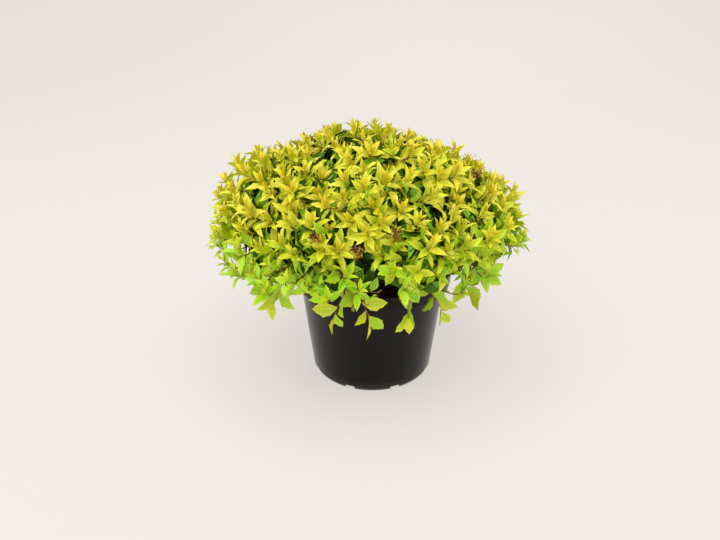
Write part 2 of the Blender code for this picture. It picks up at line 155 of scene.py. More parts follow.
bend = np.linspace(0.0, math.pi / 2, PAPER_BEND_STEPS)
curve_radius = PAPER_FLOOR_RADIUS + PAPER_BEND_RADIUS * np.sin(bend)
curve_height = PAPER_BEND_RADIUS * (1 - np.cos(bend))
paper_profile = np.concatenate(
    [
        [(radius, 0.0) for radius in PAPER_FLAT_RINGS],
        np.stack([curve_radius, curve_height], axis=1),
        [(PAPER_FLOOR_RADIUS + PAPER_BEND_RADIUS, PAPER_TOP)],
    ]
)
paper_points = rings(paper_profile, PAPER_SEGMENTS)
paper_faces = wall_faces(len(paper_profile), PAPER_SEGMENTS).tolist() + [list(range(PAPER_SEGMENTS))]
paper_finish = plain_material("paper", PAPER_COLOUR, 0.9, 0.1)
paper_finish.node_tree.nodes["Principled BSDF"].inputs["Emission Color"].default_value = (*PAPER_GLOW, 1.0)
paper_finish.node_tree.nodes["Principled BSDF"].inputs["Emission Strength"].default_value = 1.0
paper = mesh_object("paper_backdrop", paper_points, paper_faces, [paper_finish])


# Pot: thin black polypropylene, injection moulded, with a proud band under its rolled lip
# and a row of drainage slots through the corner of its floor. It stands on its underside.
POT_SEGMENTS = 192
POT_WALL = 0.0020
POT_FLOOR = 0.0025
POT_HEIGHT = 0.140
POT_RIM_RADIUS = 0.095
POT_BAND_FOOT = 0.1196
POT_BAND_RADIUS = 0.0942
POT_STEP_HEIGHT = 0.0012
POT_WALL_TOP_RADIUS = 0.0869
POT_FOOT_RADIUS = 0.0730
POT_FOOT_CHAMFER = 0.0040
POT_UNDERSIDE_RADIUS = 0.0705
SLOT_COUNT = 8
SLOT_SIZE = (0.018, 0.013, 0.012)
SLOT_CENTRE_RADIUS = 0.0715
PLASTIC_COLOUR = (0.0028, 0.0025, 0.0024)
PLASTIC_WORN = (0.022, 0.020, 0.019)
PLASTIC_GLOSS = (0.20, 0.38)
WORN_SHARE = 0.30
DUST_COLOUR = (0.070, 0.058, 0.046)
DUST_HEIGHT = 0.014
EDGE_ROUNDING = 0.0009


def rounded(corners, radius, steps=4):
    """A profile with each inner corner b cut by a curve from a to c: (1-t)^2 a + 2t(1-t) b + t^2 c."""
    corners = np.array(corners)
    points = [corners[0]]
    for before, corner, after in zip(corners[:-2], corners[1:-1], corners[2:]):
        reach_in = min(radius, np.linalg.norm(before - corner) / 2)
        reach_out = min(radius, np.linalg.norm(after - corner) / 2)
        a = corner + reach_in * (before - corner) / np.linalg.norm(before - corner)
        c = corner + reach_out * (after - corner) / np.linalg.norm(after - corner)
        for t in np.linspace(0.0, 1.0, steps + 1):
            points.append((1 - t) ** 2 * a + 2 * t * (1 - t) * corner + t * t * c)
    points.append(corners[-1])
    return np.array(points)


def turned(profile, segments):
    """Points and faces of a profile (radius, height) turned about Z. Its two ends lie on the axis."""
    body = profile[1:-1]
    poles = [(0.0, 0.0, profile[0, 1]), (0.0, 0.0, profile[-1, 1])]
    points = np.concatenate([rings(body, segments), poles])
    i = np.arange(segments)
    j = (i + 1) % segments
    last = (len(body) - 1) * segments
    pole = np.full(segments, len(points) - 2)
    faces = wall_faces(len(body), segments).tolist()
    faces += np.stack([pole, i, j], axis=1).tolist()
    faces += np.stack([pole + 1, last + j, last + i], axis=1).tolist()
    return points, faces


def feed(tree, socket, value):
    """Links an output to a socket, or sets the socket to a number or a colour."""
    if isinstance(value, bpy.types.NodeSocket):
        tree.links.new(value, socket)
    else:
        socket.default_value = value


def noise(tree, stretch, detail):
    """Noise from 0 to 1 over the piece's own coordinates times the stretch."""
    place = tree.nodes.new("ShaderNodeTexCoord")
    stretched = tree.nodes.new("ShaderNodeMapping")
    made = tree.nodes.new("ShaderNodeTexNoise")
    made.inputs["Scale"].default_value = 1.0
    feed(tree, stretched.inputs["Vector"], place.outputs["Object"])
    feed(tree, stretched.inputs["Scale"], stretch)
    feed(tree, made.inputs["Vector"], stretched.outputs["Vector"])
    feed(tree, made.inputs["Detail"], detail)
    return made.outputs["Fac"]


def ranged(tree, value, low, high, to=(0.0, 1.0)):
    """A value brought from the range low to high on to another range, and held at its ends."""
    made = tree.nodes.new("ShaderNodeMapRange")
    for name, given in zip(("Value", "From Min", "From Max", "To Min", "To Max"), (value, low, high, *to)):
        feed(tree, made.inputs[name], given)
    return made.outputs["Result"]


def product(tree, first, second):
    """Two values multiplied."""
    made = tree.nodes.new("ShaderNodeMath")
    made.operation = "MULTIPLY"
    feed(tree, made.inputs[0], first)
    feed(tree, made.inputs[1], second)
    return made.outputs["Value"]


def mixed_colour(tree, mask, first, second):
    """A mix of two colours by a mask."""
    mix = tree.nodes.new("ShaderNodeMix")
    mix.data_type = "RGBA"
    feed(tree, mix.inputs["Factor"], mask)
    for name, colour in (("A", first), ("B", second)):
        feed(tree, mix.inputs[name], (*colour, 1.0) if isinstance(colour, tuple) else colour)
    return mix.outputs["Result"]


def add_relief(tree, height, strength, distance):
    """Raises the surface by a height, through a bump on the shader's normal."""
    bump = tree.nodes.new("ShaderNodeBump")
    for name, value in (("Height", height), ("Strength", strength), ("Distance", distance)):
        feed(tree, bump.inputs[name], value)
    feed(tree, tree.nodes["Principled BSDF"].inputs["Normal"], bump.outputs["Normal"])


def moulding_group():
    """Masks for moulded plastic: fine grain, scuffs that run up the wall, and dust near the foot."""
    group = bpy.data.node_groups.new("moulded_plastic", "ShaderNodeTree")
    place = group.nodes.new("ShaderNodeTexCoord")
    height = group.nodes.new("ShaderNodeSeparateXYZ")
    feed(group, height.inputs["Vector"], place.outputs["Object"])
    near_foot = ranged(group, height.outputs["Z"], DUST_HEIGHT, 0.0)
    masks = {
        "Grain": noise(group, (900.0, 900.0, 900.0), 3.0),
        "Scuff": ranged(group, noise(group, (60.0, 60.0, 9.0), 6.0), 0.55, 0.75),
        "Dust": product(group, near_foot, noise(group, (70.0, 70.0, 70.0), 5.0)),
    }
    for name in masks:
        group.interface.new_socket(name, in_out="OUTPUT", socket_type="NodeSocketFloat")
    out = group.nodes.new("NodeGroupOutput")
    for name, mask in masks.items():
        feed(group, out.inputs[name], mask)
    return group


def plastic_material():
    """Black satin plastic: darker and glossier where clean, greyer and rougher where scuffed."""
    made = plain_material("black_plastic", PLASTIC_COLOUR, 0.30, 0.18)
    tree = made.node_tree
    shader = tree.nodes["Principled BSDF"]
    shader.inputs["Sheen Weight"].default_value = 0.10
    shader.inputs["Sheen Roughness"].default_value = 0.25
    marks = tree.nodes.new("ShaderNodeGroup")
    marks.node_tree = moulding_group()
    worn = product(tree, marks.outputs["Scuff"], WORN_SHARE)
    scuffed = mixed_colour(tree, worn, PLASTIC_COLOUR, PLASTIC_WORN)
    dusty = mixed_colour(tree, marks.outputs["Dust"], scuffed, DUST_COLOUR)
    feed(tree, shader.inputs["Base Color"], dusty)
    feed(tree, shader.inputs["Roughness"], ranged(tree, marks.outputs["Scuff"], 0.0, 1.0, PLASTIC_GLOSS))
    add_relief(tree, marks.outputs["Grain"], 0.12, 0.0002)
    return made


wall_step = POT_BAND_FOOT - POT_STEP_HEIGHT
ledge = POT_BAND_FOOT + POT_WALL
wall_slope = (POT_WALL_TOP_RADIUS - POT_FOOT_RADIUS) / (wall_step - POT_FOOT_CHAMFER)
inner_foot = POT_FOOT_RADIUS - POT_WALL
inner_ledge = inner_foot + wall_slope * (ledge - POT_STEP_HEIGHT - POT_FLOOR)
pot_profile = rounded(
    [
        (0.0, POT_FLOOR),
        (inner_foot, POT_FLOOR),
        (inner_ledge, ledge - POT_STEP_HEIGHT),
        (POT_BAND_RADIUS - POT_WALL, ledge),
        (POT_RIM_RADIUS - POT_WALL, POT_HEIGHT),
        (POT_RIM_RADIUS, POT_HEIGHT),
        (POT_BAND_RADIUS, POT_BAND_FOOT),
        (POT_WALL_TOP_RADIUS, wall_step),
        (POT_FOOT_RADIUS, POT_FOOT_CHAMFER),
        (POT_UNDERSIDE_RADIUS, 0.0),
        (0.0, 0.0),
    ],
    EDGE_ROUNDING,
)
pot_points, pot_faces = turned(pot_profile, POT_SEGMENTS)
pot = mesh_object("nursery_pot", pot_points, pot_faces, [plastic_material()])

box_corner = np.array([(x, y, z) for z in (-0.5, 0.5) for y in (-0.5, 0.5) for x in (-0.5, 0.5)])
box_faces = np.array([(0, 2, 3, 1), (4, 5, 7, 6), (0, 1, 5, 4), (2, 6, 7, 3), (0, 4, 6, 2), (1, 3, 7, 5)])


def placed_boxes(corners, turn, place):
    """Points and faces of boxes (n, 8, 3), turned about Z: (x cos - y sin, x sin + y cos, z) + place."""
    x, y, z = np.moveaxis(corners, 2, 0)
    cos, sin = np.cos(turn)[:, None], np.sin(turn)[:, None]
    points = place[:, None] + np.stack([x * cos - y * sin, x * sin + y * cos, z], axis=2)
    faces = box_faces + 8 * np.arange(len(corners))[:, None, None]
    return points.reshape(-1, 3), faces.reshape(-1, 4)


slot_corner = box_corner * SLOT_SIZE + (SLOT_CENTRE_RADIUS, 0.0, 0.0)
slot_turn = full_turn(SLOT_COUNT) + math.pi / SLOT_COUNT
slots = placed_boxes(np.tile(slot_corner, (SLOT_COUNT, 1, 1)), slot_turn, np.zeros((SLOT_COUNT, 3)))
cutter = mesh_object("slot_cutter", *slots, [])
cut = pot.modifiers.new("drainage", "BOOLEAN")
cut.operation = "DIFFERENCE"
cut.object = cutter
cut.solver = "EXACT"
graph = bpy.context.evaluated_depsgraph_get()
pot.data = bpy.data.meshes.new_from_object(pot.evaluated_get(graph), depsgraph=graph)
pot.modifiers.clear()
bpy.data.objects.remove(cutter, do_unlink=True)
pot.data.set_sharp_from_angle(angle=math.radians(50))
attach(pot, "root")
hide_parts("pot")


# Compost: dark peat and fine bark that fills the pot to 2 cm below its lip.
# Its top is lumpy, and it lies against the wall and rises a little to the stems.
SOIL_EDGE_HEIGHT = 0.1165
SOIL_CENTRE_HEIGHT = 0.1198
SOIL_RELIEF = 0.0012
SOIL_RINGS = 60
SOIL_SEGMENTS = 180
SOIL_COLOUR = (0.030, 0.017, 0.010)
SOIL_LIGHT = (0.110, 0.062, 0.034)


def ripple(points, size, seed):
    """A smooth uneven field: a third of the sum of six sine waves whose lengths are near the given size."""
    total = np.zeros(points.shape[:-1])
    dice = np.random.default_rng(seed)
    for _ in range(6):
        way = dice.normal(size=3)
        way *= 2 * math.pi / (size * dice.uniform(0.6, 1.6) * np.linalg.norm(way))
        total += np.sin(points @ way + dice.uniform(0, 2 * math.pi))
    return total / 3.0


def grain_group():
    """Grain of natural stuff: stretched noise as a height, and its share between two levels as a mask."""
    group = bpy.data.node_groups.new("natural_grain", "ShaderNodeTree")
    group.interface.new_socket("Stretch", in_out="INPUT", socket_type="NodeSocketVector")
    for name in ("Detail", "Low", "High"):
        group.interface.new_socket(name, in_out="INPUT", socket_type="NodeSocketFloat")
    for name in ("Height", "Mask"):
        group.interface.new_socket(name, in_out="OUTPUT", socket_type="NodeSocketFloat")
    given = group.nodes.new("NodeGroupInput").outputs
    out = group.nodes.new("NodeGroupOutput")
    height = noise(group, given["Stretch"], given["Detail"])
    feed(group, out.inputs["Height"], height)
    feed(group, out.inputs["Mask"], ranged(group, height, given["Low"], given["High"]))
    return group


natural_grain = grain_group()


def with_grain(made, dark, light, stretch, detail, levels, relief):
    """A material given natural grain, which mixes its dark and light colours and raises its surface."""
    tree = made.node_tree
    grain = tree.nodes.new("ShaderNodeGroup")
    grain.node_tree = natural_grain
    for name, value in zip(("Stretch", "Detail", "Low", "High"), (stretch, detail, *levels)):
        grain.inputs[name].default_value = value
    colour = mixed_colour(tree, grain.outputs["Mask"], dark, light)
    feed(tree, tree.nodes["Principled BSDF"].inputs["Base Color"], colour)
    add_relief(tree, grain.outputs["Height"], *relief)
    return made


def soil_height(radius):
    """The mean height of the compost at a radius: a slow rise towards the middle."""
    rise = SOIL_CENTRE_HEIGHT - SOIL_EDGE_HEIGHT
    return SOIL_EDGE_HEIGHT + rise * np.clip(1.0 - (radius / soil_edge) ** 1.5, 0.0, 1.0)


soil_foot = POT_FLOOR + 0.0004
soil_edge = inner_foot + wall_slope * (SOIL_EDGE_HEIGHT - POT_FLOOR) - 0.0005
ring_radius = np.linspace(0.0, soil_edge, SOIL_RINGS)
top = np.stack([ring_radius, soil_height(ring_radius)], axis=1)
soil_profile = np.concatenate([top, [(inner_foot - 0.0008, soil_foot), (0.0, soil_foot)]])
soil_points, soil_faces = turned(soil_profile, SOIL_SEGMENTS)
on_top = soil_points[:, 2] > SOIL_EDGE_HEIGHT + 1e-5
soil_points[on_top, 2] += SOIL_RELIEF * ripple(soil_points[on_top], 0.012, 3)
soil_points[on_top, 2] += 0.5 * SOIL_RELIEF * ripple(soil_points[on_top], 0.004, 4)
peat = with_grain(
    plain_material("peat", SOIL_COLOUR, 0.95, 0.2),
    SOIL_COLOUR,
    SOIL_LIGHT,
    (420.0, 420.0, 420.0),
    8.0,
    (0.50, 0.72),
    (0.9, 0.0010),
)
soil = mesh_object("compost", soil_points, soil_faces, [peat])
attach(soil, "root")
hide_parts("potting_compost")


# Bark flakes: loose red-brown chips, 3 to 8 mm long, lying on the compost.
# A few straw-coloured bits lie among them.
FLAKE_COUNT = 420
FLAKE_SIZES = ((0.003, 0.008), (0.0015, 0.004), (0.0006, 0.0014))
FLAKE_COLOURS = ((0.250, 0.080, 0.040), (0.110, 0.042, 0.024), (0.380, 0.215, 0.100))
FLAKE_SHADE = 0.45
FLAKE_LIFT = 0.0009

dice = np.random.default_rng(11)
size = np.stack([dice.uniform(*extent, FLAKE_COUNT) for extent in FLAKE_SIZES], axis=1)
flake = box_corner[None] * size[:, None] * dice.uniform(0.7, 1.2, (FLAKE_COUNT, 8, 3))
turn = dice.uniform(0, 2 * math.pi, FLAKE_COUNT)
tilt = dice.normal(0, 0.25, FLAKE_COUNT)
flake_x, flake_y, flake_z = np.moveaxis(flake, 2, 0)
cos_tilt, sin_tilt = np.cos(tilt)[:, None], np.sin(tilt)[:, None]
flake = [flake_x * cos_tilt + flake_z * sin_tilt, flake_y, flake_z * cos_tilt - flake_x * sin_tilt]
spread = np.sqrt(dice.uniform(0.03, 1.0, FLAKE_COUNT)) * (soil_edge - 0.005)
where = dice.uniform(0, 2 * math.pi, FLAKE_COUNT)
flake_place = [spread * np.cos(where), spread * np.sin(where), soil_height(spread) + FLAKE_LIFT]
chips = [
    with_grain(
        plain_material(f"flake_{i}", colour, 0.9, 0.2),
        tuple(FLAKE_SHADE * c for c in colour),
        colour,
        (1400.0, 1400.0, 1400.0),
        4.0,
        (0.0, 1.0),
        (0.5, 0.0002),
    )
    for i, colour in enumerate(FLAKE_COLOURS)
]
flakes = mesh_object(
    "bark_flakes",
    *placed_boxes(np.stack(flake, axis=2), turn, np.stack(flake_place, axis=1)),
    chips,
    np.repeat(dice.choice(3, FLAKE_COUNT, p=(0.55, 0.33, 0.12)), 6),
    smooth=False,
)
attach(flakes, "root")


# Woody stems: a low knuckle of old wood in the compost, and one thin red-brown cane to each mass of foliage.
# Their bark has lengthwise cracks and a swelling at each old leaf joint. The masses stand in four rings
# round a rounded outline that the leaf tips reach, by the same rule as in the model's source.
CROWN_CENTRE = np.array([-0.004, 0.0, 0.182])
CROWN_RADIUS = 0.184
CROWN_RISE = 0.119
CROWN_DROP = 0.075
CANE_SHARE = 0.50
CORE_SHARE_MID = 0.67
RINGS = (
    # name, masses, height angle on the crown, turn of the first mass, shoots a mass, cane's foot angle
    ("top", 1, 90.0, 33.0, 6, 90.0),
    ("upper", 5, 54.0, 55.0, 5, 66.0),
    ("middle", 8, 23.0, 66.0, 5, 46.0),
    ("skirt", 9, -10.0, 55.0, 4, 27.0),
)
MASS_WANDER = 4.5
CELL_ANGLE_LIMIT = 28.0
SHOOT_SPREAD = 0.88
SHOOT_LEAN_ABOVE = 0.55
SHOOT_LEAN_BELOW = 0.35
TIP_WANDER = 0.035
GOLDEN_ANGLE = math.radians(137.508)
UP = np.array([0.0, 0.0, 1.0])
STOOL_RADIUS = 0.0150
STOOL_FLARE = 0.0040
STOOL_FOOT_HEIGHT = 0.1203
CANE_FOOT_RADIUS = 0.0019
CANE_TIP_RADIUS = 0.0013
CANE_RINGS = 56
CANE_SIDES = 14
CANE_CRACK = 0.09
CANE_JOINT = 0.22
CANE_FOOT_SWELL = 0.45
CANE_INSET = 0.0010
KNUCKLE_COLUMNS = 72
KNUCKLE_ROWS = 21
KNUCKLE_INSET = 0.0008
BARK_DARK = (0.060, 0.024, 0.014)
BARK_RED = (0.190, 0.075, 0.040)


def wander(key, salt):
    """A repeatable number from -1 to 1: 2 f - 1, f the fraction of 43758.5453 sin(127.1 key + 311.7 salt)."""
    wave = np.sin(key * 127.1 + salt * 311.7) * 43758.5453
    return 2.0 * (wave - np.floor(wave)) - 1.0


def unit(vectors):
    """Vectors, along the last axis, at length 1."""
    return vectors / np.linalg.norm(vectors, axis=-1, keepdims=True)


def crown_direction(height_angle, turn):
    """(cos h cos t, cos h sin t, sin h) for a height angle h and a turn t."""
    level = math.cos(height_angle)
    return np.array([level * math.cos(turn), level * math.sin(turn), math.sin(height_angle)])


def facing(turn, height_angle):
    """The crown's direction at a turn and a height angle in degrees."""
    return crown_direction(math.radians(height_angle), math.radians(turn))


def crown_half_axes(direction):
    """The outline's half axes: its rise above the widest level and its drop below."""
    tall = np.where(direction[..., 2] >= 0, CROWN_RISE, CROWN_DROP)
    wide = np.full_like(tall, CROWN_RADIUS)
    return np.stack([wide, wide, tall], axis=-1)


def crown_point(direction, share=1.0):
    """Centre + share * (R x, R y, H z) for a direction (x, y, z)."""
    return CROWN_CENTRE + np.asarray(share)[..., None] * crown_half_axes(direction) * direction


def across_pair(direction):
    """Two unit vectors at right angles to each direction and to each other."""
    side = np.cross(direction, UP)
    flat = np.linalg.norm(side, axis=-1, keepdims=True) < 1e-3
    side = unit(np.where(flat, np.array([1.0, 0.0, 0.0]), side))
    return side, unit(np.cross(direction, side))


def growing_way(direction):
    """Shoots grow square to the outline and turn up towards the light."""
    lean = np.where(direction[..., 2] > 0, SHOOT_LEAN_ABOVE, SHOOT_LEAN_BELOW)
    return unit(unit(direction / crown_half_axes(direction)) + lean[..., None] * UP)


masses = []
for ring, count, height_angle, first_turn, shoots, foot_angle in RINGS:
    for place in range(count):
        number = len(masses)
        loose = 0.0 if count == 1 else MASS_WANDER
        rise = math.radians(height_angle + loose * wander(number, 1))
        turn = math.tau * place / count + math.radians(first_turn)
        turn += math.radians(loose * wander(number, 2)) / max(0.4, math.cos(rise))
        masses.append(
            {
                "name": ring if count == 1 else f"{ring}_{place + 1}",
                "ring": ring,
                "turn": turn,
                "shoots": shoots,
                "foot_angle": math.radians(foot_angle),
                "middle": crown_direction(rise, turn),
            }
        )
middles = np.array([mass["middle"] for mass in masses])



def tubes(paths, radii, sides):
    """Round limbs: hoops of points square to paths (limbs, stations, 3) at radii (limbs, stations, sides)."""
    forward = unit(np.gradient(paths, axis=1))
    normal = across_pair(forward[:, 0])[0]
    turn = full_turn(sides)
    hoops = np.empty(paths.shape[:2] + (sides, 3))
    for station in range(paths.shape[1]):
        ahead = forward[:, station]
        normal = unit(normal - np.sum(normal * ahead, axis=1, keepdims=True) * ahead)
        third = np.cross(ahead, normal)
        around = normal[:, None] * np.cos(turn)[:, None] + third[:, None] * np.sin(turn)[:, None]
        hoops[:, station] = paths[:, station, None] + radii[:, station, :, None] * around
    limbs, stations = paths.shape[:2]
    start = np.arange(limbs)[:, None] * stations * sides
    faces = (start[:, :, None] + wall_faces(stations, sides, flipped=True)).reshape(-1, 4).tolist()
    faces += (start + np.arange(sides)[::-1]).tolist()
    faces += (start + (stations - 1) * sides + np.arange(sides)).tolist()
    return hoops.reshape(-1, 3), faces


def cubic(a, b, c, d, stations):
    """Points of cubic curves (1-t)^3 a + 3t(1-t)^2 b + 3t^2(1-t) c + t^3 d, one curve a row."""
    t = np.linspace(0.0, 1.0, stations)[None, :, None]
    a, b, c, d = (np.asarray(p)[:, None] for p in (a, b, c, d))
    return (1 - t) ** 3 * a + 3 * t * (1 - t) ** 2 * b + 3 * t * t * (1 - t) * c + t**3 * d


def limbs_between(start, way, tip, tip_way, bows, stations):
    """Curves from start to tip that leave one way and arrive another: the bows are shares of their span."""
    span = np.linalg.norm(tip - start, axis=1, keepdims=True)
    return cubic(start, start + bows[0] * span * way, tip - bows[1] * span * tip_way, tip, stations)


stool_centre = np.array([0.0, 0.0, STOOL_FOOT_HEIGHT])
cane_foot_way = np.array([crown_direction(mass["foot_angle"], mass["turn"]) for mass in masses])
cane_foot = stool_centre + (STOOL_RADIUS - CANE_INSET) * cane_foot_way
cane_tip = crown_point(middles, CANE_SHARE)
cane_tip_way = unit(cane_tip - CROWN_CENTRE)
cane_paths = limbs_between(cane_foot, cane_foot_way, cane_tip, cane_tip_way, (0.40, 0.30), CANE_RINGS)
along = np.linspace(0.0, 1.0, CANE_RINGS)
bark = with_grain(
    plain_material("bark", BARK_RED, 0.72, 0.35),
    BARK_DARK,
    BARK_RED,
    (900.0, 900.0, 160.0),
    4.0,
    (0.38, 0.60),
    (0.6, 0.0003),
)
cane_radii = np.empty((len(masses), CANE_RINGS, CANE_SIDES))
for number in range(len(masses)):
    crack = CANE_CRACK * np.sin(5 * full_turn(CANE_SIDES) + number)[None, :]
    joint = CANE_JOINT * np.exp(-((along * 7 + 0.3 * wander(number, 12)) % 1.0 - 0.5) ** 2 / 0.006)[:, None]
    taper = CANE_FOOT_RADIUS + (CANE_TIP_RADIUS - CANE_FOOT_RADIUS) * along[:, None]
    swell = CANE_FOOT_SWELL * np.exp(-along / 0.05)[:, None]
    cane_radii[number] = taper * (0.95 + crack * np.cos(9 * along + number)[:, None] + joint + swell)
cane_points, cane_faces = tubes(cane_paths, cane_radii, CANE_SIDES)
knuckle_turn, knuckle_rise = np.meshgrid(
    full_turn(KNUCKLE_COLUMNS), np.linspace(0.0, math.pi / 2, KNUCKLE_ROWS + 1)[:-1]
)
knuckle_way = np.stack(
    [
        np.cos(knuckle_rise) * np.cos(knuckle_turn),
        np.cos(knuckle_rise) * np.sin(knuckle_turn),
        np.sin(knuckle_rise),
    ],
    axis=-1,
)
flare = STOOL_FLARE * np.exp(-knuckle_rise / 0.30) * (0.6 + 0.4 * np.cos(5 * knuckle_turn))
lumps = 0.0010 * ripple(knuckle_way * STOOL_RADIUS, 0.010, 21)
lumps += 0.0004 * ripple(knuckle_way * STOOL_RADIUS, 0.003, 22)
knuckle = stool_centre + (STOOL_RADIUS - KNUCKLE_INSET + flare + lumps)[..., None] * knuckle_way
knuckle[0, :, 2] = STOOL_FOOT_HEIGHT
first = len(cane_points)
pole = first + KNUCKLE_ROWS * KNUCKLE_COLUMNS
last_row = np.arange(pole - KNUCKLE_COLUMNS, pole)
stool_faces = (first + wall_faces(KNUCKLE_ROWS, KNUCKLE_COLUMNS, flipped=True)).tolist()
stool_faces += np.stack([last_row, np.roll(last_row, -1), np.full(KNUCKLE_COLUMNS, pole)], axis=1).tolist()
stool_faces.append(list(range(first, first + KNUCKLE_COLUMNS))[::-1])
knuckle_top = stool_centre + (STOOL_RADIUS - KNUCKLE_INSET) * UP
stem_points = np.concatenate([cane_points, knuckle.reshape(-1, 3), [knuckle_top]])
stems = mesh_object("woody_stems", stem_points, cane_faces + stool_faces, [bark])
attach(stems, "root")
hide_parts("stem_base", *[f"cane_{mass['name']}" for mass in masses])


# Shoots: this year's leafy growth, 241 thin red-brown twigs that branch from the canes' tips.
# The model's own shoots come first, and finer ones fill the room between them.
SHOOT_GAP = 0.0205
SKIRT_GAP = 0.0320
SHOOT_RECESS = 0.10
FURROW = 0.030
FURROW_SHARE = 0.4
SKIRT_TUCK = 0.85
CANDIDATES = 3600
CROWN_LOWEST = -0.18
TIP_BELOW_OUTLINE = 0.009
TURN_UP = 2.4
WAY_WANDER = 0.85
SPENT_HEADS = (
    # turn and height angle on the crown
    (246.5, 27.8), (264.5, 22.9), (351.5, 44.4), (280.7, 31.8), (132.0, 50.0), (67.0, 28.0), (204.0, 27.0),
    (20.0, 24.0), (158.0, 16.0), (98.0, 52.0),
)
BULGES = (
    # turn, height angle, share more than the outline, angle over which it fades
    (180.0, 42.0, 0.13, 17.0),
    (117.0, 77.5, 0.10, 11.0),
    (40.0, 52.0, -0.07, 24.0),
    (140.0, 60.0, -0.05, 18.0),
    (270.0, 0.0, -0.11, 48.0),
)
SHOOT_STATIONS = 14
SHOOT_SIDES = 6
SHOOT_RADIUS = 0.00105
SHOOT_TIP_RADIUS = 0.00045
POT_CLEARANCE = 0.012
BRANCH_SPREAD = 0.07
TWIG_COLOUR = (0.230, 0.075, 0.035)
TWIG_YOUNG = (0.420, 0.200, 0.050)


def mass_reach(number, psi):
    """The angle from a mass's middle m to the wall of its space, going psi: least atan((1 - m.o) / way.o)."""
    middle = middles[number]
    side, over = across_pair(middle)
    way = math.cos(psi) * side + math.sin(psi) * over
    least = math.radians(CELL_ANGLE_LIMIT)
    for other, other_middle in enumerate(middles):
        toward = way @ other_middle
        if other != number and toward > 1e-6:
            least = min(least, math.atan2(1.0 - middle @ other_middle, toward))
    return least, way


def model_shoots():
    """The model's shoots: direction, mass and key, set out round each mass's middle by the golden angle."""
    found = []
    for number, mass in enumerate(masses):
        for k in range(mass["shoots"]):
            psi = GOLDEN_ANGLE * k + number
            reach, way = mass_reach(number, psi)
            theta = SHOOT_SPREAD * reach * math.sqrt((k + 0.6) / mass["shoots"])
            direction = math.cos(theta) * mass["middle"] + math.sin(theta) * way
            if direction[2] > CROWN_LOWEST:
                found.append((direction, 100 * number + k))
    return found


def filled_shoots(found):
    """Adds the points of a golden-angle lattice over the crown that stand clear of all found so far."""
    level = np.linspace(CROWN_LOWEST, 1.0, 400)
    weight = np.cumsum(np.sqrt((CROWN_RADIUS * level) ** 2 + CROWN_RISE**2 * (1 - level**2)))
    heights = np.interp((np.arange(CANDIDATES) + 0.5) / CANDIDATES, weight / weight[-1], level)
    tips = [crown_point(direction) for direction, _ in found]
    tips += [crown_point(facing(*place)) for place in SPENT_HEADS]
    order = np.random.default_rng(5).permutation(CANDIDATES)
    for candidate in order:
        height = heights[candidate]
        turn = GOLDEN_ANGLE * candidate
        level = math.sqrt(1 - height * height)
        direction = np.array([level * math.cos(turn), level * math.sin(turn), height])
        tip = crown_point(direction)
        gap = SHOOT_GAP if height > 0.0 else SKIRT_GAP
        nearness = np.sort(middles @ direction)
        if nearness[-1] - nearness[-2] < FURROW and wander(float(candidate), 17) < FURROW_SHARE:
            continue
        if np.min(np.linalg.norm(np.array(tips) - tip, axis=1)) < gap:
            continue
        from_axis = math.hypot(tip[0], tip[1])
        if tip[2] > POT_HEIGHT + POT_CLEARANCE or from_axis > POT_RIM_RADIUS + POT_CLEARANCE:
            tips.append(tip)
            found.append((direction, 5000 + int(candidate)))
    return found


def bulge(direction):
    """The crown's uneven growth: the sum of share exp(-(angle / fade)^2) over the bulges."""
    total = np.zeros(direction.shape[:-1])
    for turn, height_angle, share, fade in BULGES:
        middle = facing(turn, height_angle)
        angle = np.degrees(np.arccos(np.clip(direction @ middle, -1.0, 1.0)))
        total += share * np.exp(-((angle / fade) ** 2))
    return total


def tucked(points, direction):
    """Points drawn in towards the pot: level distances times 1 - tuck d, for a drop d below the widest."""
    tuck = 1.0 - SKIRT_TUCK * np.clip(-direction[..., 2:], 0.0, 1.0)
    points[..., :2] = CROWN_CENTRE[:2] + tuck * (points[..., :2] - CROWN_CENTRE[:2])
    return points


def uneven_point(direction, share):
    """A point on the crown with its bulges, drawn in towards the pot below the widest level."""
    return tucked(crown_point(direction, share * (1.0 + bulge(direction))), direction)


def branch_point(direction, key):
    """Where a shoot leaves the wood of its mass: just past the cane's tip, each at its own place."""
    return crown_point(direction, CANE_SHARE + BRANCH_SPREAD * (1 + wander(key, 8)))


found = filled_shoots(model_shoots())
shoot_direction = unit(np.array([direction for direction, _ in found]))
shoot_key = np.array([key for _, key in found], dtype=float)
shoot_mass = np.argmax(shoot_direction @ middles.T, axis=1)
jitter = np.stack([wander(shoot_key, salt) for salt in (3, 4, 5)], axis=1)
shoot_way = unit(growing_way(shoot_direction) + TURN_UP * UP + WAY_WANDER * jitter)
shoot_share = 1.0 + bulge(shoot_direction) + TIP_WANDER * wander(shoot_key, 6)
shoot_share -= SHOOT_RECESS * np.clip(ripple(shoot_direction * CROWN_RADIUS, 0.05, 41), 0.0, 1.0)
shoot_tip = crown_point(shoot_direction, shoot_share) - TIP_BELOW_OUTLINE * shoot_way
shoot_tip = tucked(shoot_tip, shoot_direction)
stem_middle = middles[shoot_mass]
shoot_start = branch_point(stem_middle, shoot_key)
start_way = unit(stem_middle + 0.3 * shoot_direction)
shoot_paths = limbs_between(shoot_start, start_way, shoot_tip, shoot_way, (0.30, 0.38), SHOOT_STATIONS)


# Trailers: lax shoots of the skirt that bend down past the pot's rim, two to a skirt mass.
# They are thinner than the others, and all are the model's own.
TRAILER_SPREAD = 30.0
TRAILER_REACH = 0.55
TRAILER_LENGTH = 0.036
TRAILER_OUTWARD = 0.80
TRAILER_THINNESS = 0.65
YOUNG_WOOD = 0.80

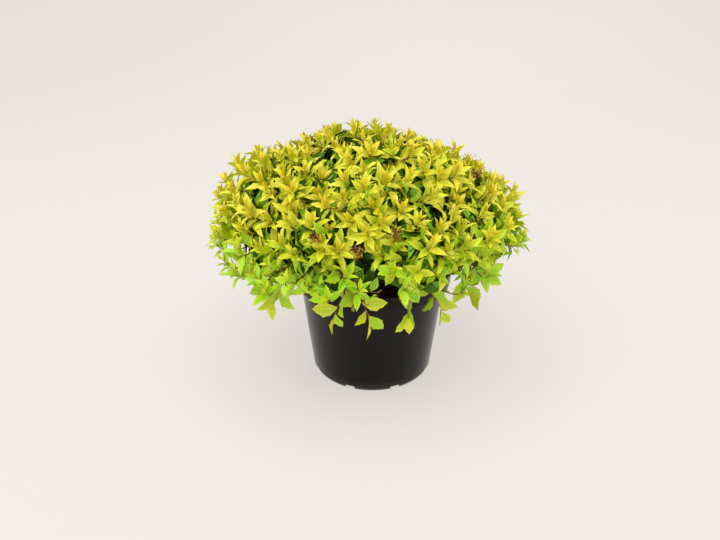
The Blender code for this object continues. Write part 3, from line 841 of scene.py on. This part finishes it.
trailer_start, trailer_key, trailer_mass, trailer_axis, trailer_tip = [], [], [], [], []
for number, mass in enumerate(masses):
    if mass["ring"] != "skirt":
        continue
    side, over = across_pair(mass["middle"])
    for k, hand in enumerate((-1, 1)):
        key = 1000 + 10 * number + k
        psi = math.atan2(-over[2], -side[2]) + hand * math.radians(TRAILER_SPREAD + 10 * wander(key, 1))
        reach, way = mass_reach(number, psi)
        theta = TRAILER_REACH * reach
        direction = math.cos(theta) * mass["middle"] + math.sin(theta) * way
        start = crown_point(direction, CORE_SHARE_MID)
        level = unit(np.array([direction[0], direction[1], 0.0]))
        axis = unit((TRAILER_OUTWARD + 0.15 * wander(key, 3)) * level - UP)
        trailer_key.append(key)
        trailer_mass.append(number)
        trailer_start.append(branch_point(mass["middle"], key))
        trailer_axis.append(axis)
        trailer_tip.append(start + TRAILER_LENGTH * (1.0 + 0.15 * wander(key, 2)) * axis)
trailer_start, trailer_axis = np.array(trailer_start), np.array(trailer_axis)
trailer_tip, trailer_key = np.array(trailer_tip), np.array(trailer_key, dtype=float)
trailer_mass = np.array(trailer_mass)
trailer_paths = limbs_between(
    trailer_start, unit(middles[trailer_mass]), trailer_tip, trailer_axis, (0.35, 0.35), SHOOT_STATIONS
)

twig_paths = np.concatenate([shoot_paths, trailer_paths])
fade = np.linspace(0.0, 1.0, SHOOT_STATIONS)
twig_radius = SHOOT_RADIUS + (SHOOT_TIP_RADIUS - SHOOT_RADIUS) * fade
thick = np.concatenate([np.ones(len(shoot_paths)), np.full(len(trailer_paths), TRAILER_THINNESS)])
twig_radii = np.repeat((thick[:, None] * twig_radius)[:, :, None], SHOOT_SIDES, axis=2)
twig_points, twig_faces = tubes(twig_paths, twig_radii, SHOOT_SIDES)
wall_materials = np.repeat((fade[:-1] > YOUNG_WOOD).astype(int), SHOOT_SIDES)
end_materials = np.zeros(2 * len(twig_paths), dtype=int)
twig_materials = np.concatenate([np.tile(wall_materials, len(twig_paths)), end_materials])
twig_finishes = [
    plain_material("twig_bark", TWIG_COLOUR, 0.6, 0.3),
    plain_material("young_twig", TWIG_YOUNG, 0.55, 0.3),
]
twigs = mesh_object("leafy_twigs", twig_points, twig_faces, twig_finishes, twig_materials)
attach(twigs, "root")


# Leaves: soft lance-shaped blades with toothed edges, folded along the midrib and curved back.
# They are large and green low on a shoot, small, upright and orange-gold at its tip, and grow from the twig.
# Those of the skirt and the trailers are broad and lime, and dark ones hang on inside the crown, their deep
# green partly their own and partly painted shade.
LEAVES_A_SHOOT = {"outer": 23, "inner": 24, "cane": 38, "broad": 11, "trailing": 7}
BROAD_BELOW = 0.15
BROAD_BELOW_FRONT = 0.41
LEAF_STATIONS = 9
LEAF_ACROSS = np.array([-1.0, -0.52, -0.09, 0.0, 0.09, 0.52, 1.0])
INNER_STATIONS = 6
INNER_ACROSS = np.array([-1.0, 0.0, 1.0])
INNER_REACH = 0.90
INNER_LOWEST = 0.169
INNER_LOW_RADIUS = 0.112
OLDEST_OUTSIDE = 6.1
HIDDEN_SHARES = {"inner": (0.01, 0.52), "cane": (0.52, 0.99)}
BROAD_RULES = {
    # how much the tip's leaves shrink, how much fuller they are in front, width of length, degrees of curl
    "broad": (0.55, 0.24, 0.48, 26),
    "trailing": (0.25, 0.34, 0.62, 8),
}
TRAILING_FOLD = 0.5
SHINY_COLOURS = 7
BARE_PATCH = np.array([0.020, -0.033, 0.118])
BARE_RADIUS = 0.013
LEAF_LONGEST = 0.0300
LEAF_NARROWING = 1.15
TOOTH_DEPTH = 0.07
EDGE_SWEEP = 0.26
EDGE_DROOP = 0.30
EDGE_WAVE = 0.13
POT_MARGIN = 0.0015
LIP_REACH = 0.0045
SOIL_MARGIN = 0.001
LEAFY_LENGTH = 0.058
LEAFY_SHARE_LOW = 0.62
SKIRT_LOWEST = 0.150
SKIRT_LOWEST_FRONT = 0.172
PALETTE = (
    # name, colour as seen (0 to 255), from the youngest leaf to the oldest; the last three greens, taken by
    # the leaves inside the crown, are partly their own and partly painted shade
    ("orange_tip", (220, 198, 42)),
    ("gold_tip", (220, 206, 40)),
    ("pale_gold", (218, 215, 52)),
    ("gold", (204, 210, 30)),
    ("green_gold", (180, 203, 24)),
    ("lime", (158, 208, 28)),
    ("deep_lime", (124, 180, 22)),
    ("leaf_green_with_painted_shade", (74, 112, 12)),
    ("deep_green_with_painted_shade", (40, 66, 6)),
    ("darkest_green_with_painted_shade", (24, 42, 3)),
)


def linear(colour):
    """A display colour as linear light: ((c + 0.055) / 1.055)^2.4 of its share c, or c / 12.92 if dark."""
    share = np.array(colour) / 255.0
    light = np.where(share > 0.04045, ((share + 0.055) / 1.055) ** 2.4, share / 12.92)
    return tuple(float(c) for c in light)


def along_path(paths, share):
    """Points and unit directions on paths (n, stations, 3) at shares (n, leaves) of their length."""
    stations = paths.shape[1]
    step = np.clip(share * (stations - 1), 0, stations - 1 - 1e-6)
    low = step.astype(int)
    part = (step - low)[..., None]
    which = np.arange(len(paths))[:, None]
    ahead = unit(np.gradient(paths, axis=1))
    point = paths[which, low] * (1 - part) + paths[which, low + 1] * part
    return point, unit(ahead[which, low] * (1 - part) + ahead[which, low + 1] * part)


def blade(share, pointed):
    """A blade's half width along its length: s^0.62 (1-s)^p, brought to 1 at its widest, thin at its foot."""
    s = np.clip((share - 0.07) / 0.93, 0.0, 1.0)
    shape = s**0.62 * (1 - s) ** pointed
    return np.maximum(shape / shape.max(), np.where(share < 0.5, 0.07, 0.012))


def leaf_grids(root, along, normal, length, width, bend, fold, twist, wave, stations, across):
    """Leaves as grids (n, stations, across, 3).

    The midrib is an arc that turns by the bend: the sum of cos(a) along - sin(a) normal over its steps.
    A point c across lies c w cos(fold) to the side and |c| w sin(fold) above, less an edge droop c^2,
    plus a wave at the edge. The side and normal turn by the twist along the leaf.
    """
    share = np.linspace(0.0, 1.0, stations)
    turn = bend[:, None] * share[None, :] ** 1.3
    side = np.cross(along, normal)
    ahead = np.cos(turn)[..., None] * along[:, None] - np.sin(turn)[..., None] * normal[:, None]
    above = np.cos(turn)[..., None] * normal[:, None] + np.sin(turn)[..., None] * along[:, None]
    steps = 0.5 * (ahead[:, 1:] + ahead[:, :-1]) * np.diff(share)[None, :, None]
    midrib = np.concatenate([np.zeros((len(root), 1, 3)), np.cumsum(steps, axis=1)], axis=1)
    midrib = root[:, None] + length[:, None, None] * midrib
    roll = (twist[:, None] * share[None])[..., None]
    rolled_side = np.cos(roll) * side[:, None] + np.sin(roll) * above
    rolled_above = np.cos(roll) * above - np.sin(roll) * side[:, None]
    half = 0.5 * width[:, None] * blade(share, LEAF_NARROWING)[None]
    teeth = np.where(np.arange(stations) % 2 == 0, 1.0, -1.0) * (share > 0.2) * (share < 0.95)
    tooth = 1.0 + TOOTH_DEPTH * teeth
    edge = np.abs(across) > 0.9
    reach = half[:, :, None] * across * np.where(edge[None, :], tooth[:, None], 1.0)[None]
    lift = np.abs(reach) * np.sin(fold)[:, None, None]
    lift -= EDGE_DROOP * half[:, :, None] * across**2 * np.sin(fold)[:, None, None]
    ripple_edge = np.sin(share[None] * 11.0 + wave[:, None])[:, :, None] * np.sign(across) * across**2
    lift += EDGE_WAVE * half[:, :, None] * ripple_edge
    sweep = EDGE_SWEEP * np.abs(reach)
    return (
        midrib[:, :, None]
        + (reach * np.cos(fold)[:, None, None])[..., None] * rolled_side[:, :, None]
        + lift[..., None] * rolled_above[:, :, None]
        + sweep[..., None] * ahead[:, :, None]
    )


def grid_faces(count, stations, across):
    """Corner numbers of the four-sided faces of that many grids."""
    i, j = np.meshgrid(np.arange(stations - 1), np.arange(across - 1), indexing="ij")
    corner = i * across + j
    one = np.stack([corner, corner + 1, corner + across + 1, corner + across], axis=-1).reshape(-1, 4)
    return (one[None] + (stations * across) * np.arange(count)[:, None, None]).reshape(-1, 4)


def hits_pot(points):
    """Whether any point of each leaf lies in the pot's wall or in the compost."""
    radius = np.hypot(points[..., 0], points[..., 1])
    height = points[..., 2]
    inside = (height < POT_HEIGHT + POT_MARGIN) & (radius < POT_RIM_RADIUS + POT_MARGIN)
    inside &= (radius > POT_RIM_RADIUS - LIP_REACH) | (height < SOIL_CENTRE_HEIGHT + SOIL_MARGIN)
    return inside.reshape(len(points), -1).any(axis=1)


def over_bare_patch(points):
    """Whether each point is near the line from a bare patch of compost out to the front."""
    outward = unit(np.array(CAMERA_PLACE) - BARE_PATCH)
    offset = points - BARE_PATCH
    aside = offset - (offset @ outward)[:, None] * outward
    return np.linalg.norm(aside, axis=1) < BARE_RADIUS


def leaf_frames(paths, share, turn, spread, uplift):
    """Roots and frames of the leaves of many shoots: along = cos(spread) axis + sin(spread) out."""
    root, axis = along_path(paths, share)
    side, over = across_pair(axis)
    out = np.cos(turn)[..., None] * side + np.sin(turn)[..., None] * over
    along = np.cos(spread)[..., None] * axis + np.sin(spread)[..., None] * out
    normal = np.sin(spread)[..., None] * axis - np.cos(spread)[..., None] * out
    normal = normal + uplift * UP
    normal = unit(normal - np.sum(normal * along, axis=-1, keepdims=True) * along)
    return root, unit(along), normal


def shoot_tone(direction, keys):
    """How green a shoot is: 0 at the crown's top, at its foot 2.3 behind and 4.5 in front, and uneven."""
    low = np.clip((0.70 - direction[:, 2]) / 0.70, 0.0, 1.0)
    patch = ripple(direction * CROWN_RADIUS, 0.12, 31)
    front = np.clip(-direction[:, 1], 0.0, 1.0)
    return (2.3 + 2.2 * front) * low**1.05 + 0.35 * patch + 0.40 * wander(keys, 9)


def inside_crown(grids, middle):
    """Whether each leaf's end is under the crown's surface, and its middle near the pot if it is low."""
    reach = grids[:, -1, -1] - CROWN_CENTRE
    reach = reach / crown_half_axes(unit(reach))
    under = np.linalg.norm(reach, axis=1) < INNER_REACH * (1.0 + bulge(unit(reach)))
    near_pot = np.hypot(middle[:, 0], middle[:, 1]) < INNER_LOW_RADIUS
    return under & ((middle[:, 2] > INNER_LOWEST) | near_pot)


def above_skirt(middle):
    """Whether each leaf's middle is above the crown's lower edge, which is higher in front."""
    to_front = np.clip(-unit(middle[:, :2])[:, 1], 0.0, 1.0) ** 2
    return middle[:, 2] > SKIRT_LOWEST + (SKIRT_LOWEST_FRONT - SKIRT_LOWEST) * to_front


def make_leaves(paths, keys, tone, leafy, kind):
    """All leaves of one kind on the shoots: their grids, colour numbers and shoots.

    A leaf's age runs from 1 at the shoot's lowest leaf to 0 at its tip. Its distance from the tip, length,
    angle to the shoot, curve and place in the palette grow with powers of its age, and each wanders a little.
    """
    count = LEAVES_A_SHOOT[kind]
    number = np.arange(count)[None, :]
    key = keys[:, None] * 31.0 + number
    path_length = np.sum(np.linalg.norm(np.diff(paths, axis=1), axis=2), axis=1)[:, None]
    age = 1.0 - number / (count - 1)
    hidden = kind in HIDDEN_SHARES
    stations, across = (INNER_STATIONS, INNER_ACROSS) if hidden else (LEAF_STATIONS, LEAF_ACROSS)
    if hidden:
        first, last = HIDDEN_SHARES[kind]
        share = first + (last - first) * (1 - age) + 0.01 * wander(key, 1)
        lengths = LEAF_LONGEST * (1.12 + 0.15 * wander(key, 2))
        widths = lengths * (0.42 + 0.05 * wander(key, 3))
        spread = np.radians(66 + 20 * wander(key, 4))
        bends = np.radians(35 + 25 * wander(key, 5))
        uplift = 0.4
        # Leaves inside the crown take the darkest greens: partly their own deep green, partly painted shade
        # of the crown's inside.
        colour = 8.4 - 1.5 * (1 - age) + 0.9 * wander(key, 6)
    else:
        far = np.minimum(leafy[:, None] * age**1.20, 0.86 * path_length * age)
        share = 1.0 - far / path_length
    if kind == "outer":
        lengths = LEAF_LONGEST * (1.0 - 0.72 * (1 - age) ** 2.6) * (1.0 + 0.15 * wander(key, 2))
        lengths = lengths * (1.0 + 0.16 * wander(keys, 21))[:, None]
        widths = lengths * (0.36 + 0.035 * wander(key, 3))
        spread = np.radians(11 + 52 * age**0.62 + 10 * wander(key, 4))
        droop = (leafy[:, None] / LEAFY_LENGTH) ** 1.5
        bends = np.radians(-6 + (98 * age**0.62 + 22 * wander(key, 5)) * droop)
        uplift = 0.35
        young = np.clip(age / 0.26, 0.0, 1.0)
        colour = 2.3 * young + 3.5 * np.clip((age - 0.26) / 0.74, 0.0, 1.0) ** 1.7
        colour = np.minimum(colour + young * tone[:, None], OLDEST_OUTSIDE) + 0.45 * wander(key, 6)
    if kind in BROAD_RULES:
        shrink, fuller, width, curl = BROAD_RULES[kind]
        to_front = np.clip(-unit(paths[:, -1, :2])[:, 1:], 0.0, 1.0) if kind == "broad" else 1.0
        fullest = 0.60 + fuller * to_front
        lengths = LEAF_LONGEST * (fullest + 0.20 * wander(key, 2)) * (1.0 - shrink * (1 - age) ** 3)
        widths = lengths * (width + 0.06 * wander(key, 3))
        spread = np.radians(24 + 42 * age**0.5 + 12 * wander(key, 4))
        bends = np.radians(8 + curl * age + 20 * wander(key, 5))
        uplift = 1.0
        colour = np.where(age < 0.1, 3.0, 3.9) + 0.35 * tone[:, None] + 0.6 * wander(key, 6)
    flatness = TRAILING_FOLD if kind == "trailing" else 1.0
    fold = np.radians(24 + 12 * wander(key, 7)) * flatness + 0.25 * (1 - age)
    turn = GOLDEN_ANGLE * number + keys[:, None]
    root, along, normal = leaf_frames(paths, share, turn, spread, uplift)
    sizes = (lengths, widths, bends, fold, 0.35 * wander(key, 10), math.pi * wander(key, 11))
    frames = (vectors.reshape(-1, 3) for vectors in (root, along, normal))
    grids = leaf_grids(*frames, *(values.ravel() for values in sizes), stations, across)
    middle = grids.mean(axis=(1, 2))
    keep = ~(hits_pot(grids) | over_bare_patch(middle))
    if hidden:
        keep &= inside_crown(grids, middle)
    if kind != "trailing":
        keep &= above_skirt(middle)
    owner = np.repeat(np.arange(len(paths)), count)
    colours = np.clip(np.rint(colour), 0, len(PALETTE) - 1).astype(int).ravel()
    return grids[keep], colours[keep], owner[keep]


leaf_materials = []
for number, (name, colour) in enumerate(PALETTE):
    roughness, shine = (0.46, 0.42) if number < SHINY_COLOURS else (0.65, 0.12)
    leaf_materials.append(plain_material(f"leaf_{name}", linear(colour), roughness, shine))
tone = shoot_tone(shoot_direction, shoot_key)
front = np.clip(-shoot_direction[:, 1], 0.0, 1.0)
broad_below = BROAD_BELOW + (BROAD_BELOW_FRONT - BROAD_BELOW) * front + 0.05 * wander(shoot_key, 14)
broad = shoot_direction[:, 2] < broad_below
high_up = np.clip(shoot_direction[:, 2] / 0.5, 0.0, 1.0)
leafy = LEAFY_LENGTH * (LEAFY_SHARE_LOW + (1 - LEAFY_SHARE_LOW) * high_up)
trailer_leafy = np.full(len(trailer_key), 0.8 * LEAFY_LENGTH)
trailer_tone = np.full(len(trailer_key), 2.0)
cane_key = np.arange(len(masses), dtype=float)
cane_zeros = np.zeros(len(masses))
kinds = (
    (shoot_paths[~broad], shoot_key[~broad], tone[~broad], leafy[~broad], shoot_mass[~broad], "outer"),
    (shoot_paths[broad], shoot_key[broad], tone[broad], leafy[broad], shoot_mass[broad], "broad"),
    (shoot_paths, shoot_key, tone, leafy, shoot_mass, "inner"),
    (trailer_paths, trailer_key, trailer_tone, trailer_leafy, trailer_mass, "trailing"),
    (cane_paths, cane_key, cane_zeros, cane_zeros, np.arange(len(masses)), "cane"),
)
grown = []
for paths, keys, tones, leafy_lengths, of_mass, kind in kinds:
    grids, colours, owner = make_leaves(paths, keys, tones, leafy_lengths, kind)
    grown.append((grids, colours, of_mass[owner]))
LEAF_PIECES = (
    # piece, its masses, slot
    ("leaves_crown_top", "top upper_1 upper_2", "golden_leaf"),
    ("leaves_crown_shoulder", "upper_3 upper_4 upper_5", "golden_leaf"),
    ("leaves_middle_first", "middle_1 middle_2 middle_3 middle_4", "golden_leaf"),
    ("leaves_middle_second", "middle_5 middle_6 middle_7 middle_8", "golden_leaf"),
    ("leaves_skirt_first", "skirt_1 skirt_2 skirt_3 skirt_4 skirt_5", "lime_leaf"),
    ("leaves_skirt_second", "skirt_6 skirt_7 skirt_8 skirt_9", "lime_leaf"),
)
# A full leaf's edges and midrib are one colour younger than the rest of its blade.
YOUNGER_STRIPS = {7: (-1, 0, -1, -1, 0, -1), 3: (0, 0)}
for name, chosen_masses, finish in LEAF_PIECES:
    numbers = [n for n, mass in enumerate(masses) if mass["name"] in chosen_masses.split()]
    points, faces, face_materials, first = [], [], [], 0
    for grids, colours, of_mass in grown:
        chosen = np.isin(of_mass, numbers)
        grid, colour = grids[chosen], colours[chosen]
        stations, across = grid.shape[1:3]
        points.append(grid.reshape(-1, 3))
        faces.append(first + grid_faces(len(grid), stations, across))
        first += len(points[-1])
        colour = colour[:, None, None]
        colour = colour + np.where(colour > 2, np.array(YOUNGER_STRIPS[across]), 0)
        face_materials.append(np.repeat(colour, stations - 1, axis=1).reshape(-1))
    leaves = mesh_object(
        name, np.concatenate(points), np.concatenate(faces), leaf_materials, np.concatenate(face_materials)
    )
    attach(leaves, "root")
    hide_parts(*[f"foliage_{masses[n]['name']}" for n in numbers])


# Spent flower heads: flat clusters of dry red-brown seed cups, each on a fine stalk of its own.
# They stand on thin stems among the leaves, a little below the shoot tips.
HEAD_COLOURS = ((92, 56, 24), (136, 94, 36), (176, 146, 66))
HEAD_SHAPE = (11, 6, 0.0075, 0.00115, 0.0015)
HEAD_STALK = 0.026
HEAD_DEPTH = 0.92
STALK_RADIUS = 0.0007
RAY_RADIUS = 0.00032

octahedron = np.array([(1, 0, 0), (0, 1, 0), (-1, 0, 0), (0, -1, 0), (0, 0, 1), (0, 0, -1)], dtype=float)
side_pairs = [(a, (a + 1) % 4) for a in range(4)]
octahedron_faces = np.array([(a, b, 4) for a, b in side_pairs] + [(b, a, 5) for a, b in side_pairs])


def flower_cluster(centre, way, dice, rays, beads_a_ray, width, bead_radius, dome):
    """Ray paths and bead centres of a flat-topped cluster: golden-angle rays, each with a ring of beads."""
    side, over = across_pair(way)
    number = np.arange(rays)
    out = width * np.sqrt((number + 0.5) / rays)
    turn = GOLDEN_ANGLE * number + dice.uniform(0, 6)
    level = np.cos(turn)[:, None] * side + np.sin(turn)[:, None] * over
    ends = centre + out[:, None] * level + (dome * (1 - (out / width) ** 2))[:, None] * way
    foot = centre - 0.9 * width * way
    paths = cubic(
        np.repeat(foot[None], rays, axis=0),
        np.repeat((foot + 0.4 * width * way)[None], rays, axis=0),
        ends - 0.4 * width * unit(way + 0.4 * level),
        ends,
        4,
    )
    beads = ends[:, None] + dice.normal(0, 0.55 * width / math.sqrt(rays), (rays, beads_a_ray, 3))
    return paths, beads.reshape(-1, 3), bead_radius * dice.uniform(0.7, 1.25, rays * beads_a_ray)


def bead_mesh(centres, radii, dice):
    """Small eight-sided beads, each turned and squashed at random."""
    frames = np.linalg.qr(dice.normal(size=(len(centres), 3, 3)))[0]
    frames *= np.sign(np.linalg.det(frames))[:, None, None]
    shape = octahedron[None] * dice.uniform(0.7, 1.2, (len(centres), 1, 3))
    points = centres[:, None] + radii[:, None, None] * np.einsum("nij,nkj->nki", frames, shape)
    faces = octahedron_faces[None] + 6 * np.arange(len(centres))[:, None, None]
    return points.reshape(-1, 3), faces.reshape(-1, 3)


def cluster_piece(name, places, dice, colours, shape, stalk, depth):
    """One mesh of flower clusters with their stalks, at places (turn, height angle) on the crown.

    Their shape is the number of rays and of beads a ray, the width, a bead's radius and the middle's rise.
    """
    rays, beads_a_ray, width, bead_radius, dome = shape
    ray_paths, stalk_paths, centres, radii = [], [], [], []
    for place in places:
        direction = facing(*place)
        way = unit(growing_way(direction) + 0.8 * UP)
        centre = uneven_point(direction, depth)
        paths, beads, sizes = flower_cluster(centre, way, dice, rays, beads_a_ray, width, bead_radius, dome)
        ray_paths.append(paths)
        centres.append(beads)
        radii.append(sizes)
        foot = centre - 0.9 * width * way
        owner = int(np.argmax(middles @ direction))
        root = crown_point(middles[owner], CANE_SHARE + 0.10)
        stalk_paths.append(cubic([root], [root + 0.3 * (foot - root)], [foot - stalk * way], [foot], 12))
    stalks = np.concatenate(stalk_paths)
    rays_all = np.concatenate(ray_paths)
    stalk_points, stalk_faces = tubes(stalks, np.full(stalks.shape[:2] + (5,), STALK_RADIUS), 5)
    ray_points, ray_faces = tubes(rays_all, np.full(rays_all.shape[:2] + (3,), RAY_RADIUS), 3)
    bead_points, bead_faces = bead_mesh(np.concatenate(centres), np.concatenate(radii), dice)
    second = len(stalk_points)
    third = second + len(ray_points)
    faces = stalk_faces + [[second + c for c in face] for face in ray_faces] + (third + bead_faces).tolist()
    tints = dice.integers(0, len(colours), len(bead_faces) // 8)
    made = mesh_object(
        name,
        np.concatenate([stalk_points, ray_points, bead_points]),
        faces,
        [plain_material(f"{name}_{i}", linear(colour), 0.8, 0.2) for i, colour in enumerate(colours)],
        np.concatenate([np.ones(len(stalk_faces) + len(ray_faces), dtype=int), np.repeat(tints, 8)]),
        smooth=False,
    )
    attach(made, "root")


dice = np.random.default_rng(61)
cluster_piece(
    "spent_flower_heads", SPENT_HEADS, dice, HEAD_COLOURS, HEAD_SHAPE, HEAD_STALK, HEAD_DEPTH
)


# Flower buds: tight green-yellow clusters of round buds, not yet open, low on the crown.
# Each stands on a green stalk that comes from the wood behind it.
BUD_HEADS = ((300.5, 17.6), (284.6, 4.0), (30.0, 12.0), (120.0, 8.0), (200.0, 10.0))
BUD_COLOURS = ((198, 208, 54), (160, 186, 42), (216, 218, 84))
BUD_SHAPE = (9, 7, 0.0065, 0.00100, 0.0020)
BUD_STALK = 0.020

dice = np.random.default_rng(62)
cluster_piece("flower_buds", BUD_HEADS, dice, BUD_COLOURS, BUD_SHAPE, BUD_STALK, 1.0)


# Withered leaves: a few small brown leaves, dry and curled up, low in the crown.
# Each still hangs on at the twig that it grew from.
WITHERED_PLACES = (
    # turn and height angle on the crown
    (232.8, 0.0), (236.0, -4.0), (239.3, -2.0), (243.0, -6.0), (310.0, -5.0), (60.0, -3.0), (150.0, -4.0),
)
WITHERED_EACH = 3
WITHERED_STATIONS = 10
WITHERED_RANGES = (
    # least and most of length, width, bend, fold, twist and wave
    (0.008, 0.013), (0.0025, 0.0040), (2.0, 4.0), (0.6, 1.1), (-2.0, 2.0), (0.0, 6.0),
)
WITHERED_COLOURS = ((84, 60, 32), (126, 96, 52))

dice = np.random.default_rng(71)
count = len(WITHERED_PLACES) * WITHERED_EACH
middle = np.array([facing(*place) for place in WITHERED_PLACES])
wanted = np.repeat(uneven_point(middle, 0.93), WITHERED_EACH, axis=0) + dice.normal(0, 0.012, (count, 3))
twig_points_along = twig_paths[:, SHOOT_STATIONS // 2 :].reshape(-1, 3)
nearest = np.argmin(np.linalg.norm(wanted[:, None] - twig_points_along[None], axis=2), axis=1)
root = twig_points_along[nearest]
along = unit(np.repeat(middle, WITHERED_EACH, axis=0) + dice.normal(0, 0.5, (count, 3)) - 0.7 * UP)
normal = across_pair(along)[1]
withered_sizes = [dice.uniform(low, high, count) for low, high in WITHERED_RANGES]
withered_grids = leaf_grids(root, along, normal, *withered_sizes, WITHERED_STATIONS, INNER_ACROSS)
withered_faces = grid_faces(count, WITHERED_STATIONS, len(INNER_ACROSS))
withered = mesh_object(
    "withered_leaves",
    withered_grids.reshape(-1, 3),
    withered_faces,
    [plain_material(f"withered_{i}", linear(tint), 0.8, 0.2) for i, tint in enumerate(WITHERED_COLOURS)],
    np.repeat(dice.integers(0, 2, count), len(withered_faces) // count),
)
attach(withered, "root")
